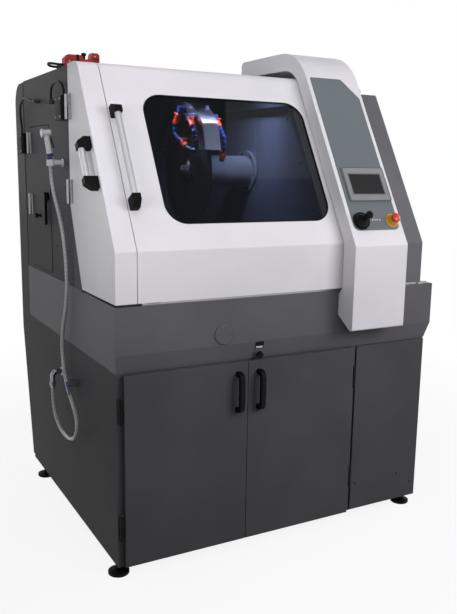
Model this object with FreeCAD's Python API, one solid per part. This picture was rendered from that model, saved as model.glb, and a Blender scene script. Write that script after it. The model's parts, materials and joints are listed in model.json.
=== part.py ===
"""Floor-standing abrasive cut-off machine: every piece as its own solid, in millimetres.

Pieces are drawn with the cabinet's middle at x = 0 and its front frame at y = 0, the front facing -Y and
+Z up, then moved so that the origin is on the floor under the middle of the whole machine.
"""
import FreeCAD, Part
import math
import os

V = FreeCAD.Vector
ALONG_X = V(1, 0, 0)
ALONG_Y = V(0, 1, 0)
UP = V(0, 0, 1)

# Sheet metal and fits
SHEET = 3.0
PANEL_GAP = 3.0
RUNNING_GAP = 0.05
SLIDE_GAP = 0.3

# Lower cabinet
CABINET_WIDTH = 1500.0
CABINET_DEPTH = 1270.0
FOOT_HEIGHT = 45.0
CABINET_HEIGHT = 777.0
FRAME_DEPTH = 25.0
LEFT_POST = 24.0
BAY_RIGHT_FROM_SIDE = 414.0
BAY_POST = 24.0
BOTTOM_RAIL = 17.0
TOP_RAIL = 27.0
TOP_FLANGE = 30.0
FOOT_RADIUS = 42.0
FOOT_PAD = 12.0
FOOT_STEM_RADIUS = 10.0
FOOT_LEFT_INSET = 17.0
FOOT_RIGHT_INSET = 44.0
FOOT_FRONT_INSET = 42.0
FOOT_REAR_INSET = 160.0
FIXED_PANEL_PROUD = 8.0

# Lower doors and their hinges
CABINET_DOOR_THICK = 21.0
CABINET_DOOR_SKIN = 2.5
CABINET_DOOR_SEAT = 1.0
CABINET_DOOR_EDGE = 5.0
CABINET_HINGE_OUT = 10.0
CABINET_HINGE_RADIUS = 7.0
CABINET_PIN_RADIUS = 3.5
CABINET_HINGE_LENGTH = 96.0
CABINET_HINGE_LOW = 172.0
CABINET_HINGE_HIGH = 640.0
BOW_HANDLE_SPAN = 168.0
BOW_HANDLE_REACH = 44.0
BOW_HANDLE_RADIUS = 9.0
BOW_HANDLE_FROM_EDGE = 47.0
BOW_HANDLE_BELOW_TOP = 41.0

# Coolant tub with its folded skirt
TUB_HEIGHT = 255.0
SKIRT_FOLD_DROP = 181.0
SKIRT_WALL = 4.0
SKIRT_PROUD_FRONT = 22.0
SKIRT_FOOT_FRONT = 3.0
SKIRT_PROUD_RIGHT = 17.0
SKIRT_PROUD_LEFT_TOP = 5.0
SKIRT_PROUD_LEFT_FOLD = 8.0
SKIRT_FLARE_TOP_Y = 363.0
SKIRT_FLARE_FOLD_Y = 495.0
SKIRT_RIGHT_BLEND = 70.0
TUB_FLOOR_THICK = 8.0
RIM_THICK = 4.0
RIM_FRONT = 62.0
RIM_LEFT = 60.0
DRAIN_RADIUS = 36.0
DRAIN_LENGTH = 300.0
BUTTON_X = -146.0
BUTTON_UP_BAND = 24.0
BUTTON_RADIUS = 13.0
BUTTON_LENGTH = 22.0
BUTTON_STROKE = 5.0
BUTTON_RING_WALL = 4.0
BUTTON_RING_HEIGHT = 12.0

# White hood: sliding front door and hinged left door
HOOD_FACE_Y = -34.0
HOOD_LEFT_PROUD = 10.0
HOOD_LIFT = 12.0
HOOD_FRONT_HEIGHT = 191.0
HOOD_LEAN = math.radians(29.7)
HOOD_SLOPE_HEIGHT = 698.0
HOOD_TOP_RADIUS = 62.0
HOOD_KINK_RADIUS = 14.0
HOOD_FLANGE = 25.0
LEFT_DOOR_STRIP = 83.0
LEFT_DOOR_REAR_Y = 485.0
LEFT_DOOR_CORNER_Z = 330.0
LEFT_DOOR_FOOT_Y = 352.0
FRONT_DOOR_WIDTH = 1004.0
FRONT_DOOR_ROOF_Y = 552.0
FRONT_DOOR_TRAVEL = 400.0
WINDOW_SIDE_MARGIN = 144.0
WINDOW_WIDTH = 752.0
WINDOW_FOOT = 104.0
WINDOW_LENGTH = 566.0
WINDOW_RADIUS = 85.0
PANE_THICK = 6.0
PANE_OVERLAP = 12.0
RAIL_WIDTH = 12.0
RAIL_HEIGHT = 10.0
RAIL_Y = -8.0
RAIL_LENGTH = 1390.0
STOP_LENGTH = 22.0
RUNNER_LENGTH = 50.0
RUNNER_SIDE = 4.0
TOP_RAIL_WIDTH = 7.0
TOP_RAIL_DEPTH = 16.0

# Tube handles
HANDLE_TUBE_RADIUS = 12.5
HANDLE_STANDOFF = 38.0
HANDLE_CAP_WALL = 3.5
HANDLE_CAP_GRIP = 26.0
HANDLE_CAP_TAIL = 20.0
LONG_HANDLE_FOOT = 183.0
LONG_HANDLE_LENGTH = 395.0
LONG_HANDLE_INSET = 20.0
SHORT_HANDLE_FOOT_Z = 426.0
SHORT_HANDLE_LENGTH = 172.0
SHORT_HANDLE_BACK = 34.0

# Upper left wall and hatch
LEFT_WALL_INSET = 2.0
LEFT_WALL_GAP = 6.0
FLARE_APEX_BACK = 9.0
WALL_POST = 30.0
HATCH_FRONT_Y = 824.0
HATCH_REAR_Y = 1160.0
HATCH_FOOT = 21.0
HATCH_HEIGHT = 657.0
HATCH_DEPTH = 18.0
HATCH_SKIN = 2.5
LATCH_Y = 862.0
LATCH_PIVOT_UP = 342.0
LATCH_LENGTH = 128.0
LATCH_WIDTH = 24.0
LATCH_RADIUS = 19.0
LATCH_LIFT = 8.0
LATCH_THICK = 13.0

# Chrome hinges and their black switches
HINGE_RADIUS = 7.0
HINGE_PIN_RADIUS = 3.5
HINGE_LENGTH = 98.0
HINGE_LEAF = 38.0
HINGE_LEAF_THICK = 4.0
LEFT_DOOR_HINGE_LOW = 350.0
LEFT_DOOR_HINGE_HIGH = 686.0
HATCH_HINGE_LOW = 267.0
HATCH_HINGE_HIGH = 557.0
SWITCH_DEPTH = 26.0
SWITCH_WIDTH = 100.0
SWITCH_GAP = 1.0
SWITCH_CHAMFER = 7.0

# Rear cover, roof and right housing
REAR_COVER_DEPTH = 160.0
REAR_COVER_FOOT = 25.0
REAR_COVER_FOOT_Z = 60.0
REAR_COVER_BEND_Z = 735.0
REAR_COVER_RADIUS = 100.0
ROOF_THICK = 5.0
ROOF_FRONT_Y = 562.0
HOUSING_PROUD = 8.0
HOUSING_SETBACK = 81.0
HOUSING_TOP_DROP = 40.0

# Console column and its controls
COLUMN_WIDTH = 276.0
COLUMN_RIGHT_FROM_SIDE = 233.0
COLUMN_DOOR_GAP = 9.0
COLUMN_THICK = 79.0
COLUMN_SLOPE_THICK = 64.0
COLUMN_WALL = 4.0
COLUMN_BOTTOM_DROP = 159.0
COLUMN_HEEL_DROP = 104.0
COLUMN_SHELF_DROP = 13.0
COLUMN_TOE = 18.0
COLUMN_TOP_RISE = 117.0
COLUMN_ARCH_GAP = 40.0
COLUMN_ARCH_FOOT = 150.0
COLUMN_REAR_Y = 852.0
COLUMN_TOP_RADIUS = 246.0
COLUMN_INNER_RADIUS = 148.0
PANEL_THICK = 3.0
PANEL_MARGIN = 19.0
PANEL_FOOT = 70.0
PANEL_LENGTH = 737.0
PANEL_CUT_ALONG = 94.0
PANEL_CUT_ACROSS = 75.0
PANEL_RADIUS = 26.0
TOUCH_WIDTH = 218.0
TOUCH_HEIGHT = 158.0
TOUCH_THICK = 7.0
TOUCH_LEFT = 17.0
TOUCH_FOOT = 132.0
SCREEN_WIDTH = 166.0
SCREEN_HEIGHT = 94.0
SCREEN_DEPTH = 2.0
ESTOP_FROM_LEFT = 208.0
ESTOP_UP = 41.0
ESTOP_COLLAR_RADIUS = 26.0
ESTOP_COLLAR_TOP = 21.0
ESTOP_COLLAR_HEIGHT = 18.0
ESTOP_STEM_RADIUS = 8.0
ESTOP_CAP_RADIUS = 20.0
ESTOP_CAP_THICK = 14.0
ESTOP_STROKE = 5.0
JOYSTICK_FROM_LEFT = 41.0
JOYSTICK_UP = 40.0
JOYSTICK_RING_RADIUS = 36.0
JOYSTICK_RING_HEIGHT = 14.0
JOYSTICK_BOOT_RADIUS = 30.0
JOYSTICK_BOOT_FOOT = 9.0
JOYSTICK_BOOT_WALL = 4.0
JOYSTICK_BOOT_MOUTH = 13.0
JOYSTICK_LEVER_RADIUS = 5.5
JOYSTICK_LEVER_LENGTH = 78.0
JOYSTICK_KNOB_RADIUS = 14.0

# Cutting chamber, head and wheel
CHAMBER_RIGHT_FROM_COLUMN = 51.0
CHAMBER_REAR_Y = 1240.0
CHAMBER_CEILING_DROP = 30.0
CHAMBER_FLANGE_SETBACK = 45.0
CHAMBER_FLANGE_WIDTH = 48.0
WHEEL_RADIUS = 250.0
WHEEL_THICK = 5.0
WHEEL_FROM_WALL = 324.0
WHEEL_Y = 690.0
WHEEL_RISE = 486.0
HEAD_TRAVEL = 185.0
SHAFT_RADIUS = 25.0
WHEEL_FLANGE_RADIUS = 55.0
WHEEL_FLANGE_THICK = 14.0
WHEEL_NUT_RADIUS = 30.0
WHEEL_NUT_THICK = 22.0
QUILL_RADIUS = 74.0
QUILL_SETBACK = 45.0
QUILL_RING_RADIUS = 100.0
QUILL_RING_THICK = 12.0
SHUTTER_GAP = 3.0
SHUTTER_OVERLAP = 6.0
SLOT_SIDE_GAP = 6.0
CARRIAGE_THICK = 25.0
CARRIAGE_HEIGHT = 250.0
GUIDE_SPACING = 240.0
GUIDE_WIDTH = 20.0
GUIDE_DEPTH = 20.0
GUIDE_RISE = 73.0
GUIDE_LENGTH = 780.0
BLOCK_WALL = 12.0
BLOCK_HEIGHT = 80.0
SCREW_RADIUS = 12.0
SCREW_OFFSET = 178.0
BEARING_SIZE = 40.0
MOTOR_RADIUS = 110.0
MOTOR_LENGTH = 330.0
GUARD_RADIUS = 311.0
GUARD_WIDTH = 78.0
GUARD_CHEEK = 78.0
GUARD_REAR_ANGLE = 18.0
GUARD_FRONT_ANGLE = 138.0
GUARD_NOSE_DROP = 115.0
GUARD_NOSE_REACH = 30.0
NOZZLE_HOSE_RADIUS = 12.5
NOZZLE_NECK_RADIUS = 9.0
NOZZLE_BEAD_LENGTH = 22.0
NOZZLE_VALVE_RADIUS = 14.6
NOZZLE_VALVE_LENGTH = 10.0
NOZZLE_REACH = 84.0
NOZZLE_DROP = 193.0
NOZZLE_SPREAD = 8.0
NOZZLE_CHEEK_SHARE = 0.4
FRONT_NOZZLE_ANGLE = 122.0
SIDE_NOZZLE_ANGLE = 101.0
LEFT_NOZZLE_SHARE = 0.8

# Table
TABLE_TOP_GAP = 8.0
TABLE_THICK = 60.0
TABLE_WALL_GAP = 14.0
TABLE_DEPTH = 520.0
TABLE_TRAVEL = 110.0
TABLE_KERF = 24.0
TABLE_SLOT = 14.0
TABLE_SLOT_HEAD = 24.0
TABLE_SLOT_NECK = 14.0
TABLE_SLOT_FOOT = 12.0
TABLE_SLOT_COUNT = 3
WAY_SPACING = 380.0
WAY_WIDTH = 34.0
WAY_OVERRUN = 60.0

# Coolant tank and pump
TANK_LENGTH = 820.0
TANK_DEPTH = 760.0
TANK_HEIGHT = 380.0
TANK_WALL = 4.0
TANK_LEFT_GAP = 90.0
TANK_FRONT_GAP = 110.0
TANK_LID_DEPTH = 260.0
PUMP_RADIUS = 72.0
PUMP_HEIGHT = 190.0
PUMP_SUCTION_RADIUS = 28.0

# Hand shower, water fittings and cords
SHOWER_Y = 620.0
SHOWER_X = -800.0
SHOWER_FOOT_Z = 1576.0
SHOWER_NECK_RADIUS = 10.0
SHOWER_GRIP_RADIUS = 12.5
SHOWER_GRIP_TOP_RADIUS = 11.2
SHOWER_GRIP_LENGTH = 112.0
SHOWER_COLLAR_STEP = 4.0
SHOWER_LEAN = 9.0
SHOWER_HEAD_RADIUS = 15.5
SHOWER_HEAD_BACK_RADIUS = 12.8
SHOWER_HEAD_LENGTH = 40.0
SHOWER_HEAD_TILT = -0.16
TRIGGER_LENGTH = 44.0
TRIGGER_WIDTH = 12.0
TRIGGER_STANDOFF = 3.0
TRIGGER_SPLAY = 5.0
HOLDER_HEIGHT = 25.0
HOLDER_LIFT = 2.0
HOLDER_WIDTH = 34.0
ELBOW_Y = 702.0
ELBOW_Z = 662.0
ELBOW_X = -797.0
ELBOW_PIPE_RADIUS = 11.0
ELBOW_BEND_RADIUS = 20.0
ELBOW_NUT_RADIUS = 15.0
ELBOW_FOOT_Z = 590.0
VALVE_Y = 480.0
VALVE_Z = 667.0
VALVE_BODY_RADIUS = 16.0
VALVE_BODY_LENGTH = 34.0
VALVE_STUB = 12.0
VALVE_LEVER_LENGTH = 55.0
VALVE_LEVER_WIDTH = 14.0
HOSE_RADIUS = 8.0
CABLE_RADIUS = 5.0
GLAND_RADIUS = 9.0
GLAND_LENGTH = 24.0
INTERLOCK_X = -742.0
INTERLOCK_Y = 600.0
INTERLOCK_LENGTH = 149.0
INTERLOCK_WIDTH = 40.0
INTERLOCK_HEIGHT = 62.0
INTERLOCK_BEVEL = 8.0

# Where the origin lies from the cabinet's middle and front frame
ORIGIN = V(-36.0, 645.0, 0.0)

# Worked-out planes
LEFT = -CABINET_WIDTH / 2
RIGHT = CABINET_WIDTH / 2
REAR = CABINET_DEPTH
SEAM_Z = FOOT_HEIGHT + CABINET_HEIGHT
TUB_TOP = SEAM_Z + TUB_HEIGHT
FOLD_Z = TUB_TOP - SKIRT_FOLD_DROP
WHEEL_Z = TUB_TOP + WHEEL_RISE
GUIDE_FOOT_Z = TUB_TOP + GUIDE_RISE
COLUMN_BOTTOM_Z = TUB_TOP - COLUMN_BOTTOM_DROP
COLUMN_HEEL_Z = TUB_TOP - COLUMN_HEEL_DROP
COLUMN_SHELF_Z = TUB_TOP - COLUMN_SHELF_DROP
TUB_FLOOR = FOLD_Z + TUB_FLOOR_THICK / 2
HOOD_LEFT = LEFT - HOOD_LEFT_PROUD
HOOD_FOOT = TUB_TOP + HOOD_LIFT
KINK_Z = HOOD_FOOT + HOOD_FRONT_HEIGHT
ROOF_Z = KINK_Z + HOOD_SLOPE_HEIGHT
WALL_TOP = ROOF_Z - ROOF_THICK
WALL_X = LEFT + LEFT_WALL_INSET
SEAM_X = HOOD_LEFT + LEFT_DOOR_STRIP
FRONT_DOOR_LEFT = SEAM_X + PANEL_GAP
FRONT_DOOR_RIGHT = FRONT_DOOR_LEFT + FRONT_DOOR_WIDTH
COLUMN_RIGHT = RIGHT - COLUMN_RIGHT_FROM_SIDE
COLUMN_LEFT = COLUMN_RIGHT - COLUMN_WIDTH
COLUMN_FACE_Y = HOOD_FACE_Y - COLUMN_DOOR_GAP - COLUMN_THICK
CHAMBER_RIGHT = COLUMN_LEFT - CHAMBER_RIGHT_FROM_COLUMN
HOUSING_LEFT = CHAMBER_RIGHT + SHEET
HOUSING_RIGHT = RIGHT + HOUSING_PROUD
HOUSING_TOP = ROOF_Z - HOUSING_TOP_DROP
WHEEL_X = CHAMBER_RIGHT - WHEEL_FROM_WALL
BAY_RIGHT = RIGHT - BAY_RIGHT_FROM_SIDE
BAY_LEFT = LEFT + LEFT_POST
TABLE_TOP = WHEEL_Z - HEAD_TRAVEL - WHEEL_RADIUS - TABLE_TOP_GAP
SKIRT_Y = -SKIRT_PROUD_FRONT
LEFT_HINGE = V(HOOD_LEFT - HINGE_RADIUS, LEFT_DOOR_REAR_Y + PANEL_GAP, 0)
HATCH_HINGE = V(LEFT - HINGE_RADIUS, HATCH_REAR_Y + LEFT_WALL_GAP, 0)


def block(x0, x1, y0, y1, z0, z1):
    """Box between two corners."""
    return Part.makeBox(x1 - x0, y1 - y0, z1 - z0, V(x0, y0, z0))


def rod(start, axis, radius, length):
    """Solid cylinder from a start point along an axis."""
    return Part.makeCylinder(radius, length, start, axis)


def outline(points, radii):
    """Closed wire through points in one plane, each corner rounded by its own radius."""
    count = len(points)
    starts = []
    ends = []
    arcs = []
    for i in range(count):
        corner = points[i]
        back = (points[i - 1] - corner).normalize()
        ahead = (points[(i + 1) % count] - corner).normalize()
        radius = radii[i]
        if radius <= 0:
            starts.append(corner)
            ends.append(corner)
            arcs.append(None)
            continue
        half = back.getAngle(ahead) / 2
        setback = radius / math.tan(half)
        centre = corner + (back + ahead).normalize() * (radius / math.sin(half))
        middle = centre + (corner - centre).normalize() * radius
        starts.append(corner + back * setback)
        ends.append(corner + ahead * setback)
        arcs.append(middle)
    edges = []
    for i in range(count):
        if arcs[i] is not None:
            edges.append(Part.Arc(starts[i], arcs[i], ends[i]).toShape())
        edges.append(Part.LineSegment(ends[i], starts[(i + 1) % count]).toShape())
    return Part.Wire(edges)


def profile_yz(corners, x0, x1):
    """Solid from a closed (y, z, radius) outline, stretched from x0 to x1."""
    points = [V(x0, y, z) for y, z, _ in corners]
    radii = [radius for _, _, radius in corners]
    return Part.Face(outline(points, radii)).extrude(V(x1 - x0, 0, 0))


def fuse(first, *others):
    """One solid from pieces that touch or overlap, with no leftover seams."""
    return first.fuse(list(others)).removeSplitter()


def slope_yz(along, out):
    """(y, z) of a point on the hood's slope: along it from the kink, and out from the white face."""
    y = HOOD_FACE_Y + along * math.sin(HOOD_LEAN) - out * math.cos(HOOD_LEAN)
    z = KINK_Z + along * math.cos(HOOD_LEAN) + out * math.sin(HOOD_LEAN)
    return y, z


def slope_point(x, along, out):
    """Point on the hood's slope."""
    y, z = slope_yz(along, out)
    return V(x, y, z)


SLOPE_OUT = V(0, -math.cos(HOOD_LEAN), math.sin(HOOD_LEAN))
SLOPE_UP = V(0, math.sin(HOOD_LEAN), math.cos(HOOD_LEAN))


def slope_plate(corners, out0, out1):
    """Plate lying on the slope from (x, along, radius) corners, between two distances from the face."""
    points = [slope_point(x, along, out0) for x, along, _ in corners]
    radii = [radius for _, _, radius in corners]
    return Part.Face(outline(points, radii)).extrude(SLOPE_OUT * (out1 - out0))


def slope_y(inset, z):
    """Y at a height on a line that runs parallel to the hood's slope, inside it by an inset."""
    return HOOD_FACE_Y + (inset + (z - KINK_Z) * math.sin(HOOD_LEAN)) / math.cos(HOOD_LEAN)


def hood_corners(inset):
    """Kink and top corner of a line that runs inside the hood's face by an inset."""
    kink = (HOOD_FACE_Y + inset, KINK_Z - inset * math.tan(HOOD_LEAN / 2))
    top_z = ROOF_Z - inset
    return kink, (slope_y(inset, top_z), top_z)


def hood_band(inset0, inset1, foot_z, roof_y, x0, x1):
    """Bent band that follows the hood from its foot, over the kink and the rounded top, to the roof's end."""
    kink0, top0 = hood_corners(inset0)
    kink1, top1 = hood_corners(inset1)
    corners = [
        (kink0[0], foot_z, 0),
        (kink0[0], kink0[1], HOOD_KINK_RADIUS),
        (top0[0], top0[1], HOOD_TOP_RADIUS - inset0),
        (roof_y, top0[1], 0),
        (roof_y, top1[1], 0),
        (top1[0], top1[1], HOOD_TOP_RADIUS - inset1),
        (kink1[0], kink1[1], HOOD_KINK_RADIUS + inset1 - inset0),
        (kink1[0], foot_z, 0),
    ]
    return profile_yz(corners, x0, x1)


def pinned_knuckle(centre, half, pin_radius, radius):
    """Fixed half of a hinge: lower knuckle with the pin standing through the upper one."""
    knuckle = rod(centre - UP * half, UP, radius, half)
    pin = rod(centre - UP * half, UP, pin_radius, 2 * half)
    return knuckle.fuse(pin)


def sleeve_knuckle(centre, half, pin_radius, radius):
    """Moving half of a hinge: upper knuckle with a running bore for the pin."""
    knuckle = rod(centre + UP * SLIDE_GAP, UP, radius, half - SLIDE_GAP)
    return knuckle.cut(rod(centre, UP, pin_radius + RUNNING_GAP, half))


# Lower cabinet

def foot_places():
    """Centres of the four levelling feet on the floor."""
    xs = (LEFT + FOOT_LEFT_INSET, RIGHT - FOOT_RIGHT_INSET)
    ys = (FOOT_FRONT_INSET, REAR - FOOT_REAR_INSET)
    return [V(x, y, 0) for x in xs for y in ys]


def levelling_feet():
    """Four round pads with a cone and a threaded stem up to the cabinet's floor."""
    chamfer = 2.0
    cone_top = FOOT_PAD + FOOT_PAD
    section = [
        V(0, 0, 0),
        V(FOOT_RADIUS - chamfer, 0, 0),
        V(FOOT_RADIUS, 0, chamfer),
        V(FOOT_RADIUS, 0, FOOT_PAD),
        V(FOOT_STEM_RADIUS, 0, cone_top),
        V(FOOT_STEM_RADIUS, 0, FOOT_HEIGHT),
        V(0, 0, FOOT_HEIGHT),
        V(0, 0, 0),
    ]
    foot = Part.Face(Part.makePolygon(section)).revolve(V(0, 0, 0), UP, 360)
    return Part.makeCompound([foot.translated(place) for place in foot_places()])


def base_cabinet():
    """Sheet steel box, open at the front bay and at the top, with its front frame and a divider."""
    outer = block(LEFT, RIGHT, 0, REAR, FOOT_HEIGHT, SEAM_Z)
    inner = block(LEFT + SHEET, RIGHT - SHEET, -1, REAR - SHEET, FOOT_HEIGHT + SHEET, SEAM_Z + 1)
    shell = outer.cut(inner)
    frame = [
        block(LEFT, BAY_LEFT, 0, FRAME_DEPTH, FOOT_HEIGHT, SEAM_Z),
        block(BAY_RIGHT, BAY_RIGHT + BAY_POST, 0, FRAME_DEPTH, FOOT_HEIGHT, SEAM_Z),
        block(RIGHT - LEFT_POST, RIGHT, 0, FRAME_DEPTH, FOOT_HEIGHT, SEAM_Z),
        block(LEFT, RIGHT, 0, FRAME_DEPTH, FOOT_HEIGHT, FOOT_HEIGHT + BOTTOM_RAIL),
        block(LEFT, RIGHT, 0, FRAME_DEPTH, SEAM_Z - TOP_RAIL, SEAM_Z),
        block(LEFT, LEFT + TOP_FLANGE, 0, REAR, SEAM_Z - SHEET, SEAM_Z),
        block(RIGHT - TOP_FLANGE, RIGHT, 0, REAR, SEAM_Z - SHEET, SEAM_Z),
        block(LEFT, RIGHT, REAR - TOP_FLANGE, REAR, SEAM_Z - SHEET, SEAM_Z),
        block(BAY_RIGHT, BAY_RIGHT + SHEET, 0, REAR, FOOT_HEIGHT, SEAM_Z),
    ]
    return fuse(shell, *frame)


def tray(x0, x1, y0, y1, z0, z1, skin):
    """Door or panel pressed as a shallow tray: a skin on the -Y side with returned edges."""
    hollow = block(x0 + skin, x1 - skin, y0 + skin, y1 + 1, z0 + skin, z1 - skin)
    return block(x0, x1, y0, y1, z0, z1).cut(hollow)


def right_front_panel():
    """Bolted panel that closes the electrical bay beside the doors."""
    x0 = BAY_RIGHT + BAY_POST + PANEL_GAP
    x1 = RIGHT - PANEL_GAP
    z0 = FOOT_HEIGHT + CABINET_DOOR_EDGE
    z1 = SEAM_Z - CABINET_DOOR_EDGE
    return tray(x0, x1, -FIXED_PANEL_PROUD, 0, z0, z1, CABINET_DOOR_SKIN)


DOOR_SPLIT = (BAY_LEFT + BAY_RIGHT) / 2
DOOR_BACK_Y = -CABINET_DOOR_SEAT
DOOR_FACE_Y = DOOR_BACK_Y - CABINET_DOOR_THICK
DOOR_HINGE_Y = DOOR_FACE_Y + CABINET_HINGE_RADIUS + PANEL_GAP


def cabinet_hinge_axis(side):
    """Axis of a lower door's hinges: side -1 is the left door, +1 the right one."""
    edge = BAY_LEFT if side < 0 else BAY_RIGHT
    return V(edge + side * CABINET_HINGE_OUT, DOOR_HINGE_Y, 0)


def cabinet_hinge_heights():
    """Middle heights of the two hinges on each lower door."""
    return [FOOT_HEIGHT + CABINET_HINGE_LOW, FOOT_HEIGHT + CABINET_HINGE_HIGH]


def cabinet_hinges():
    """Black hinge blocks on the frame: leaf, lower knuckle and pin."""
    half = CABINET_HINGE_LENGTH / 2
    hinges = []
    for side in (-1, 1):
        axis = cabinet_hinge_axis(side)
        for height in cabinet_hinge_heights():
            centre = V(axis.x, axis.y, height)
            knuckle = pinned_knuckle(centre, half, CABINET_PIN_RADIUS, CABINET_HINGE_RADIUS)
            web = block(axis.x - CABINET_PIN_RADIUS, axis.x + CABINET_PIN_RADIUS, axis.y, 0,
                        height - half, height)
            hinges.append(fuse(knuckle, web))
    return Part.makeCompound(hinges)


def cabinet_door(side):
    """Lower door: a pressed tray with the moving hinge knuckles on its outer edge."""
    split_gap = PANEL_GAP / 2
    if side < 0:
        x0, x1 = BAY_LEFT, DOOR_SPLIT - split_gap
    else:
        x0, x1 = DOOR_SPLIT + split_gap, BAY_RIGHT
    z0 = FOOT_HEIGHT + CABINET_DOOR_EDGE
    z1 = SEAM_Z - CABINET_DOOR_EDGE
    panel = tray(x0, x1, DOOR_FACE_Y, DOOR_BACK_Y, z0, z1, CABINET_DOOR_SKIN)
    axis = cabinet_hinge_axis(side)
    half = CABINET_HINGE_LENGTH / 2
    edge = x0 if side < 0 else x1
    knuckles = []
    for height in cabinet_hinge_heights():
        centre = V(axis.x, axis.y, height)
        low = height + SLIDE_GAP
        web = block(min(axis.x, edge), max(axis.x, edge), axis.y - CABINET_PIN_RADIUS,
                    axis.y + CABINET_PIN_RADIUS, low, height + half)
        web = web.cut(rod(centre, UP, CABINET_PIN_RADIUS + RUNNING_GAP, half))
        knuckles.append(sleeve_knuckle(centre, half, CABINET_PIN_RADIUS, CABINET_HINGE_RADIUS))
        knuckles.append(web)
    return fuse(panel, *knuckles)


def left_cabinet_door():
    """Lower door hinged at the cabinet's left post."""
    return cabinet_door(-1)


def right_cabinet_door():
    """Lower door hinged at the post beside the fixed panel."""
    return cabinet_door(1)


def bow_handle(x):
    """Round bow handle standing on a lower door's face."""
    top = SEAM_Z - BOW_HANDLE_BELOW_TOP - BOW_HANDLE_RADIUS
    low = top - BOW_HANDLE_SPAN + 2 * BOW_HANDLE_RADIUS
    reach = DOOR_FACE_Y - BOW_HANDLE_REACH + BOW_HANDLE_RADIUS
    bend = 2 * BOW_HANDLE_RADIUS
    inward = bend * (1 - math.cos(math.pi / 4))
    low_out, low_up = V(x, reach + bend, low), V(x, reach, low + bend)
    top_down, top_out = V(x, reach, top - bend), V(x, reach + bend, top)
    path = Part.Wire([
        Part.LineSegment(V(x, DOOR_FACE_Y, low), low_out).toShape(),
        Part.Arc(low_out, V(x, reach + inward, low + inward), low_up).toShape(),
        Part.LineSegment(low_up, top_down).toShape(),
        Part.Arc(top_down, V(x, reach + inward, top - inward), top_out).toShape(),
        Part.LineSegment(top_out, V(x, DOOR_FACE_Y, top)).toShape(),
    ])
    ring = Part.Wire(Part.makeCircle(BOW_HANDLE_RADIUS, V(x, DOOR_FACE_Y, low), ALONG_Y))
    return path.makePipeShell([ring], True, False)


def left_bow_handle():
    """Handle of the left lower door, beside the split."""
    return bow_handle(DOOR_SPLIT - BOW_HANDLE_FROM_EDGE)


def right_bow_handle():
    """Handle of the right lower door, beside the split."""
    return bow_handle(DOOR_SPLIT + BOW_HANDLE_FROM_EDGE + PANEL_GAP)


# Coolant tub

def skirt_ring(z, left_out, right_out, front_y, flare_y, inset):
    """One level of the skirt's plan: flared at the front left, proud at the right, flush at the rear."""
    right_bend = flare_y if flare_y > SKIRT_FLARE_TOP_Y else SKIRT_FLARE_TOP_Y
    corners = [
        V(LEFT - left_out + inset, front_y + inset, z),
        V(RIGHT + right_out - inset, front_y + inset, z),
        V(RIGHT + right_out - inset, right_bend, z),
        V(RIGHT - inset, right_bend + SKIRT_RIGHT_BLEND, z),
        V(RIGHT - inset, REAR - inset, z),
        V(LEFT + inset, REAR - inset, z),
        V(LEFT + inset, flare_y, z),
    ]
    return Part.makePolygon(corners + [corners[0]])


def skirt_level(z, inset):
    """The skirt's plan at its top, its fold or its foot, or between its fold and its top."""
    if z >= FOLD_Z:
        rise = (z - FOLD_Z) / (TUB_TOP - FOLD_Z)
        left_out = SKIRT_PROUD_LEFT_FOLD + rise * (SKIRT_PROUD_LEFT_TOP - SKIRT_PROUD_LEFT_FOLD)
        flare = SKIRT_FLARE_FOLD_Y + rise * (SKIRT_FLARE_TOP_Y - SKIRT_FLARE_FOLD_Y)
        return skirt_ring(z, left_out, SKIRT_PROUD_RIGHT, SKIRT_Y, flare, inset)
    drop = (FOLD_Z - z) / (FOLD_Z - SEAM_Z)
    left_out = SKIRT_PROUD_LEFT_FOLD * (1 - drop)
    right_out = SKIRT_PROUD_RIGHT * (1 - drop)
    front = SKIRT_Y + drop * (SKIRT_PROUD_FRONT - SKIRT_FOOT_FRONT)
    return skirt_ring(z, left_out, right_out, front, SKIRT_FLARE_FOLD_Y, inset)


def loft(z0, z1, inset):
    """Solid between two levels of the skirt."""
    return Part.makeLoft([skirt_level(z0, inset), skirt_level(z1, inset)], True, True)


BAND_LEAN = math.atan2(SKIRT_PROUD_FRONT - SKIRT_FOOT_FRONT, FOLD_Z - SEAM_Z)
BAND_OUT = V(0, -math.cos(BAND_LEAN), -math.sin(BAND_LEAN))
BUTTON_FOOT = V(BUTTON_X, -SKIRT_FOOT_FRONT - BUTTON_UP_BAND * math.sin(BAND_LEAN),
                SEAM_Z + BUTTON_UP_BAND * math.cos(BAND_LEAN))


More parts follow.
